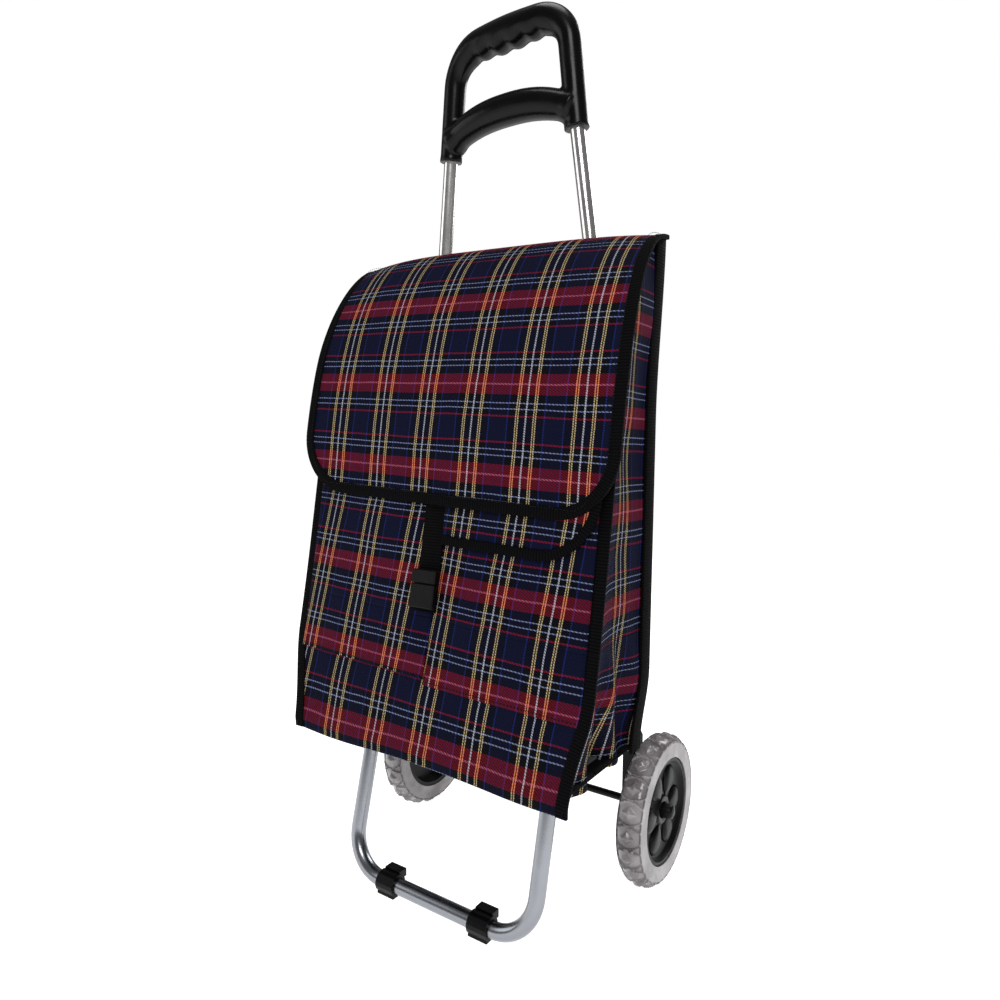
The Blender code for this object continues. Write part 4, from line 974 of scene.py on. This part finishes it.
def makeGrip():
    path = gripLoop()
    swell = []
    for at in path:
        share = max(1 - abs(at.x) / 0.1014, 0.0) * ease(grip["topZ"] - 0.035, grip["topZ"], at.z)
        rim = 0.06 * ease(grip["rimZ"] + 0.006, grip["rimZ"] + 0.001, at.z)
        swell.append(mix(1.0, grip["bar"] / grip["leg"], ease(0, 1, share)) + rim)
    loop = sweep("grip", path, roundProfile(grip["leg"], 40), lambda k: Vector((0, -1, 0)),
                 gripPlastic, swell=swell)
    for vertex in loop.data.vertices:  # finger grooves along the underside of the top bar
        below = ease(grip["topZ"], grip["topZ"] - 0.012, vertex.co.z)
        inBar = ease(0.046, 0.036, abs(vertex.co.x)) * ease(0.865, 0.872, vertex.co.z)
        beat = 0.5 + 0.5 * math.cos(vertex.co.x / 0.021 * 2 * math.pi)
        vertex.co.z += grip["grooveDepth"] * beat * below * inBar
    bars = [loop]
    half = tubeLine(1, grip["lowZ"]).x
    path, swell = [], []
    for k in range(61):
        share = 2 * k / 60 - 1
        arch = 1 - abs(share) ** 2.4
        z = grip["lowZ"] - grip["drop"] * (1 - arch)
        path.append(Vector((share * half, tubeLine(1, z).y - grip["bow"] * arch, z)))
        swell.append(mix(0.84, 1.0, arch) + 0.16 * ease(0.82, 1.0, abs(share)))
    bars.append(sweep("lowBar", path, roundProfile(grip["lowRadius"], 40), lambda k: Vector((0, -1, 0)),
                      gripPlastic, swell=swell))
    for side in (-1, 1):  # a small moulded lug inside each sleeve's rim
        foot = tubeLine(side, grip["rimZ"] + 0.0005) - Vector((side * 0.0108, 0, 0))
        bars.append(sweep(f"lug{side}", [foot, foot + Vector((0, 0, 0.010))], roundProfile(0.0042, 16),
                          lambda k: Vector((0, -1, 0)), gripPlastic))
    bpy.ops.object.select_all(action="DESELECT")
    for bar in bars:
        bar.select_set(True)
    bpy.context.view_layer.objects.active = loop
    bpy.ops.object.join()
    fuse = loop.modifiers.new("fuse", "REMESH")
    fuse.mode, fuse.voxel_size, fuse.use_smooth_shade = "VOXEL", grip["voxel"], True
    relax = loop.modifiers.new("relax", "SMOOTH")
    relax.factor, relax.iterations = 0.5, 12
    graph = bpy.context.evaluated_depsgraph_get()
    mesh = bpy.data.meshes.new_from_object(loop.evaluated_get(graph))
    loop.modifiers.clear()
    mesh.materials.clear()
    mesh.materials.append(gripPlastic)
    mesh.shade_smooth()
    loop.data = mesh
    place(loop, "frame", "black_grip", "grip_loop", "grip_bar")


makeGrip()
print("grip made")


# wheels

wheel = {"radius": 0.080, "inner": 0.0555, "outX": 0.170, "inX": 0.144, "axleY": 0.070, "cells": 20,
         "relief": 0.0036, "petals": 6, "dish": 0.007}


def tyreCell():
    # one repeat of the tread: a hexagon of ridges with a raised diamond in it
    bm = bmesh.new()
    wide = wheel["outX"] - wheel["inX"]
    middle = (wheel["outX"] + wheel["inX"]) / 2
    angleSteps, crossSteps = 24, 44
    sector = 2 * math.pi / wheel["cells"]
    profile = []
    bead, wall = wheel["inner"], wheel["radius"] - 0.0075
    profile += [(-wide / 2, bead, 0.0), (-wide / 2, mix(bead, wall, 0.5), 0.0), (-wide / 2, wall, 0.0)]
    for k in range(crossSteps + 1):
        t = mix(-1, 1, k / crossSteps)
        shoulder = abs(t) ** 3.2
        profile.append((t * wide / 2, mix(wheel["radius"] - 0.0012, wall + 0.0010, shoulder), 1.0))
    profile += [(wide / 2, wall, 0.0), (wide / 2, mix(bead, wall, 0.5), 0.0), (wide / 2, bead, 0.0)]
    rows = []
    for k in range(angleSteps + 1):
        u = mix(-1, 1, k / angleSteps)  # -1 to 1 round one cell
        row = []
        for x, r, tread in profile:
            t = x / (wide / 2)
            edge = abs(u) + 0.42 * abs(t) ** 2
            ridge = max(0.0, 1 - abs(edge - 0.96) / 0.13)
            diamond = max(0.0, 1 - (abs(u) / 0.60 + abs(t) / 0.62))
            height = tread * wheel["relief"] * (ridge * 0.8 + min(diamond * 1.5, 1.0) * 0.9 - 0.85)
            spoke = u * sector / 2
            far = r + height
            row.append(bm.verts.new((x, math.cos(spoke) * far, math.sin(spoke) * far)))
        rows.append(row)
    for here, after in zip(rows, rows[1:]):
        for i in range(len(profile) - 1):
            bm.faces.new((here[i], here[i + 1], after[i + 1], after[i]))
    for here, after in zip(rows, rows[1:]):
        bm.faces.new((here[-1], here[0], after[0], after[-1]))
    bmesh.ops.translate(bm, verts=bm.verts, vec=(middle, 0, 0))
    mesh = bpy.data.meshes.new("tyreCell")
    bm.to_mesh(mesh)
    bm.free()
    return mesh


def petalMesh():
    # one raised lobe of the hub's face, with its top pulled out of a round outline
    bm = bmesh.new()
    rings, spokes = 10, 16
    inner, outer = 0.015, 0.0475
    grid = []
    for i in range(rings + 1):
        share = i / rings
        r = mix(inner, outer, share)
        reach = math.sin(math.pi * share) ** 0.6 * 0.38 + 0.02
        row = []
        for j in range(spokes + 1):
            turn = mix(-1, 1, j / spokes)
            lift = 0.0042 * (1 - abs(turn) ** 4) * math.sin(math.pi * share) ** 0.5
            angle = turn * reach
            row.append(bm.verts.new((lift, r * math.cos(angle), r * math.sin(angle))))
        grid.append(row)
    for i in range(rings):
        for j in range(spokes):
            bm.faces.new((grid[i][j], grid[i][j + 1], grid[i + 1][j + 1], grid[i + 1][j]))
    mesh = bpy.data.meshes.new("petal")
    bm.to_mesh(mesh)
    bm.free()
    return mesh


def fixNormals(obj):
    bm = bmesh.new()
    bm.from_mesh(obj.data)
    bmesh.ops.remove_doubles(bm, verts=bm.verts, dist=2e-5)
    bmesh.ops.recalc_face_normals(bm, faces=bm.faces)
    bm.to_mesh(obj.data)
    bm.free()
    obj.data.shade_smooth()
    obj.data.set_sharp_from_angle(angle=math.radians(38))


for word, side in (("left", -1), ("right", 1)):
    body = f"wheel_{word}"
    centre = Vector((0, wheel["axleY"], wheel["radius"]))
    tyre = bakeTree(link(f"tyre_{word}", tyreCell()), ringTree, {
        "Count": wheel["cells"], "Merge": 0.00002, "Finish": tyreRubber})
    tyre.data.transform(Matrix.Translation(centre) @ Matrix.Diagonal((side, 1, 1, 1)))
    fixNormals(tyre)
    tyre.name = f"tyreTread_{word}"
    place(tyre, body, "pvc_tyre", f"tyre_{word}")

    face = wheel["outX"] - wheel["dish"]
    inX = wheel["inX"]
    rim = wheel["inner"] - 0.0004
    hubLine = [(0.137, 0.0089), (0.137, 0.0130), (face - 0.006, 0.0150), (face - 0.006, 0.0480),
               (inX + 0.001, rim - 0.004), (inX + 0.001, rim), (0.1685, rim), (0.1690, rim - 0.0008),
               (0.1688, rim - 0.0035), (face + 0.001, 0.0490), (face, 0.0470), (face - 0.001, 0.0300),
               (face, 0.0160), (face + 0.0025, 0.0140), (face + 0.003, 0.0110),
               (face + 0.002, 0.0089), (0.137, 0.0089)]
    hub = lathe(f"hubDisc_{word}", hubLine, centre, 96, plastic, side)
    place(hub, body, "black_plastic", f"hub_{word}")
    petals = bakeTree(link(f"hubPetals_{word}", petalMesh()), ringTree, {
        "Count": wheel["petals"], "Merge": 0.0, "Finish": plastic})
    petals.data.transform(Matrix.Translation(centre + Vector((side * (face - 0.0008), 0, 0)))
                          @ Matrix.Diagonal((side, 1, 1, 1)))
    thicken = petals.modifiers.new("wall", "SOLIDIFY")
    thicken.thickness, thicken.offset = 0.0012, 0.0
    place(petals, body, "black_plastic")
    capStart = face + 0.001
    capLine = [(capStart, 0.0046), (capStart, 0.0075), (0.1735, 0.0075), (0.1755, 0.0064), (0.1765, 0.0040),
               (0.1770, 0.0)]
    cap = lathe(f"axleCap_{word}", capLine, centre, 48, plastic, side)
    place(cap, "frame", "black_plastic", f"axle_cap_{word}")
print("wheels made")


# webbing loops that hold the bag to the tubes, and the screws on the braces

loopSize = {"height": 0.025, "thick": 0.0018, "gap": 0.0007}
for level, z in (("low", 0.330), ("high", 0.600)):
    for word, side in (("left", -1), ("right", 1)):
        at = tubeLine(side, z)
        reach = tubing["radius"] + loopSize["gap"] + loopSize["thick"] / 2
        front = bag["backY"] + 0.0004 + loopSize["thick"] / 2
        ring = [Vector((at.x + reach * math.cos(t), at.y + reach * math.sin(t), z))
                for t in [math.pi * k / 24 for k in range(25)]]
        ring += [Vector((at.x - reach, mix(at.y, front + 0.003, k / 4), z)) for k in (1, 2, 3, 4)]
        ring += [Vector((at.x + mix(-reach + 0.003, reach - 0.003, k / 6), front, z)) for k in range(7)]
        ring += [Vector((at.x + reach, mix(front + 0.003, at.y, k / 4), z)) for k in (0, 1, 2, 3)]
        across = tapeProfile(-loopSize["height"] / 2, loopSize["height"] / 2, -loopSize["thick"] / 2,
                             loopSize["thick"] / 2, 0.0005)
        outs = []
        for k in range(len(ring)):
            ahead = ring[(k + 1) % len(ring)] - ring[k - 1]
            outs.append(ahead.cross(Vector((0, 0, 1))))
        band = sweep(f"bagLoop_{level}_{word}", ring, across, lambda k: outs[k], tape, closed=True)
        place(band, "frame", "webbing", f"bag_loop_{level}_{word}")


def screwQuarter(radius, high):
    # a quarter of a domed head with half of each arm of its cross recess
    bm = bmesh.new()
    steps = 12
    rows = []
    for i in range(steps + 1):
        r = max(radius * i / steps, 1e-6)
        row = []
        for j in range(steps + 1):
            turn = mix(-math.pi / 4, math.pi / 4, j / steps)
            offset = abs(r * math.sin(turn))
            slot = ease(0.12 * radius, 0.2 * radius, offset) if r < 0.62 * radius else 1.0
            dome = high * math.sqrt(max(1 - (r / radius) ** 2 * 0.8, 0.0))
            row.append(bm.verts.new((mix(dome * 0.35, dome, slot), r * math.cos(turn), r * math.sin(turn))))
        rows.append(row)
    skirt = [bm.verts.new((0, v.co.y, v.co.z)) for v in rows[-1]]
    rows.append(skirt)
    for here, after in zip(rows, rows[1:]):
        for j in range(steps):
            bm.faces.new((here[j], here[j + 1], after[j + 1], after[j]))
    mesh = bpy.data.meshes.new("screwQuarter")
    bm.to_mesh(mesh)
    bm.free()
    return mesh


for node in ("lower_brace", "upper_brace"):
    for word in ("left", "right"):
        low, high = (Vector(p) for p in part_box(f"{node}_screw_{word}"))
        quarter = screwQuarter((high.x - low.x) / 2, high.y - low.y)
        head = bakeTree(link(f"{node}Screw_{word}", quarter), ringTree, {
            "Count": 4, "Merge": 0.00001, "Finish": zinc})
        seat = Vector(((low.x + high.x) / 2, low.y, (low.z + high.z) / 2))
        head.data.transform(Matrix.Translation(seat) @ Matrix.Rotation(math.pi / 2, 4, "Z"))
        fixNormals(head)
        place(head, "frame", "zinc_steel", f"{node}_screw_{word}")

cadFinishes = {"axle": blackSteel, "lower_brace": zinc, "upper_brace": zinc}
for word in ("left", "right"):
    cadFinishes.update({f"axle_bracket_{word}": plastic, f"bush_{word}": plastic,
                        f"foot_clip_{word}": plastic,
                        f"stand_pivot_{word}": zinc})
for node, finish in cadFinishes.items():
    cadNodes[node].data.materials.clear()
    cadNodes[node].data.materials.append(finish)
print("small parts made")


# camera, light and floor

camera = {"at": (0.4404, -0.6498, 0.4583), "yaw": 34.27, "pitch": 3.8, "roll": 0.68, "lens": 26.14}


def makeCamera():
    yaw, pitch, roll = (math.radians(camera[key]) for key in ("yaw", "pitch", "roll"))
    forward = Vector((-math.sin(yaw) * math.cos(pitch), math.cos(yaw) * math.cos(pitch), -math.sin(pitch)))
    level = Vector((math.cos(yaw), math.sin(yaw), 0))
    above = level.cross(forward)
    right = level * math.cos(roll) + above * math.sin(roll)
    up = above * math.cos(roll) - level * math.sin(roll)
    data = bpy.data.cameras.new("camera")
    data.lens, data.sensor_width, data.sensor_fit = camera["lens"], 36.0, "AUTO"
    data.clip_start, data.clip_end = 0.01, 50.0
    obj = bpy.data.objects.new("camera", data)
    obj.matrix_world = Matrix.Translation(camera["at"]) @ Matrix((right, up, -forward)).transposed().to_4x4()
    bpy.context.scene.collection.objects.link(obj)
    bpy.context.scene.camera = obj


def makeLight(name, at, target, size, power):
    data = bpy.data.lights.new(name, "AREA")
    data.shape, data.size, data.energy = "DISK", size, power
    obj = bpy.data.objects.new(name, data)
    obj.location = at
    obj.rotation_mode = "QUATERNION"
    obj.rotation_quaternion = (Vector(target) - Vector(at)).to_track_quat("-Z", "Y")
    bpy.context.scene.collection.objects.link(obj)


makeCamera()
for name, at, size, power in (("keyLight", (1.2, -1.8, 1.9), 1.1, 31),
                              ("fillLight", (-1.9, -1.3, 1.1), 1.5, 10),
                              ("backLight", (0.3, 2.0, 1.8), 1.4, 26), ("topLight", (0, 0, 2.6), 1.2, 16)):
    makeLight(name, at, (0, 0, 0.42), size, power)

world = bpy.data.worlds.new("studio")
bpy.context.scene.world = world
world.use_nodes = True
sky = world.node_tree.nodes["Background"]
sky.inputs["Color"].default_value = linear("#ffffff")
seen = addNode(world.node_tree, "ShaderNodeLightPath")
amount = addNode(world.node_tree, "ShaderNodeMapRange", inputs={  # a white backdrop that lights softly
    "Value": seen.outputs["Is Camera Ray"], "To Min": 0.2, "To Max": 1.0})
world.node_tree.links.new(amount.outputs["Result"], sky.inputs["Strength"])
bpy.context.scene.view_settings.view_transform = "Standard"

floorMesh = bpy.data.meshes.new("floor")
floorMesh.from_pydata([(-40, -40, 0), (40, -40, 0), (40, 40, 0), (-40, 40, 0)], [], [(0, 1, 2, 3)])
floorPaint, floorTree, floorShader = newMaterial("paleStudioFloor", "#f2f1ef", 0.7)
varyRoughness(floorTree, floorShader, objectNoise(floorTree, 3.0), 0.72, 0.85)
floorShader.inputs["Specular IOR Level"].default_value = 0.0
floorShader.inputs["Emission Color"].default_value = linear("#ffffff")
# a lit table, so that it meets the backdrop without a line
floorShader.inputs["Emission Strength"].default_value = 0.86
link("floor", floorMesh, floorPaint)
print("camera, light and floor made")
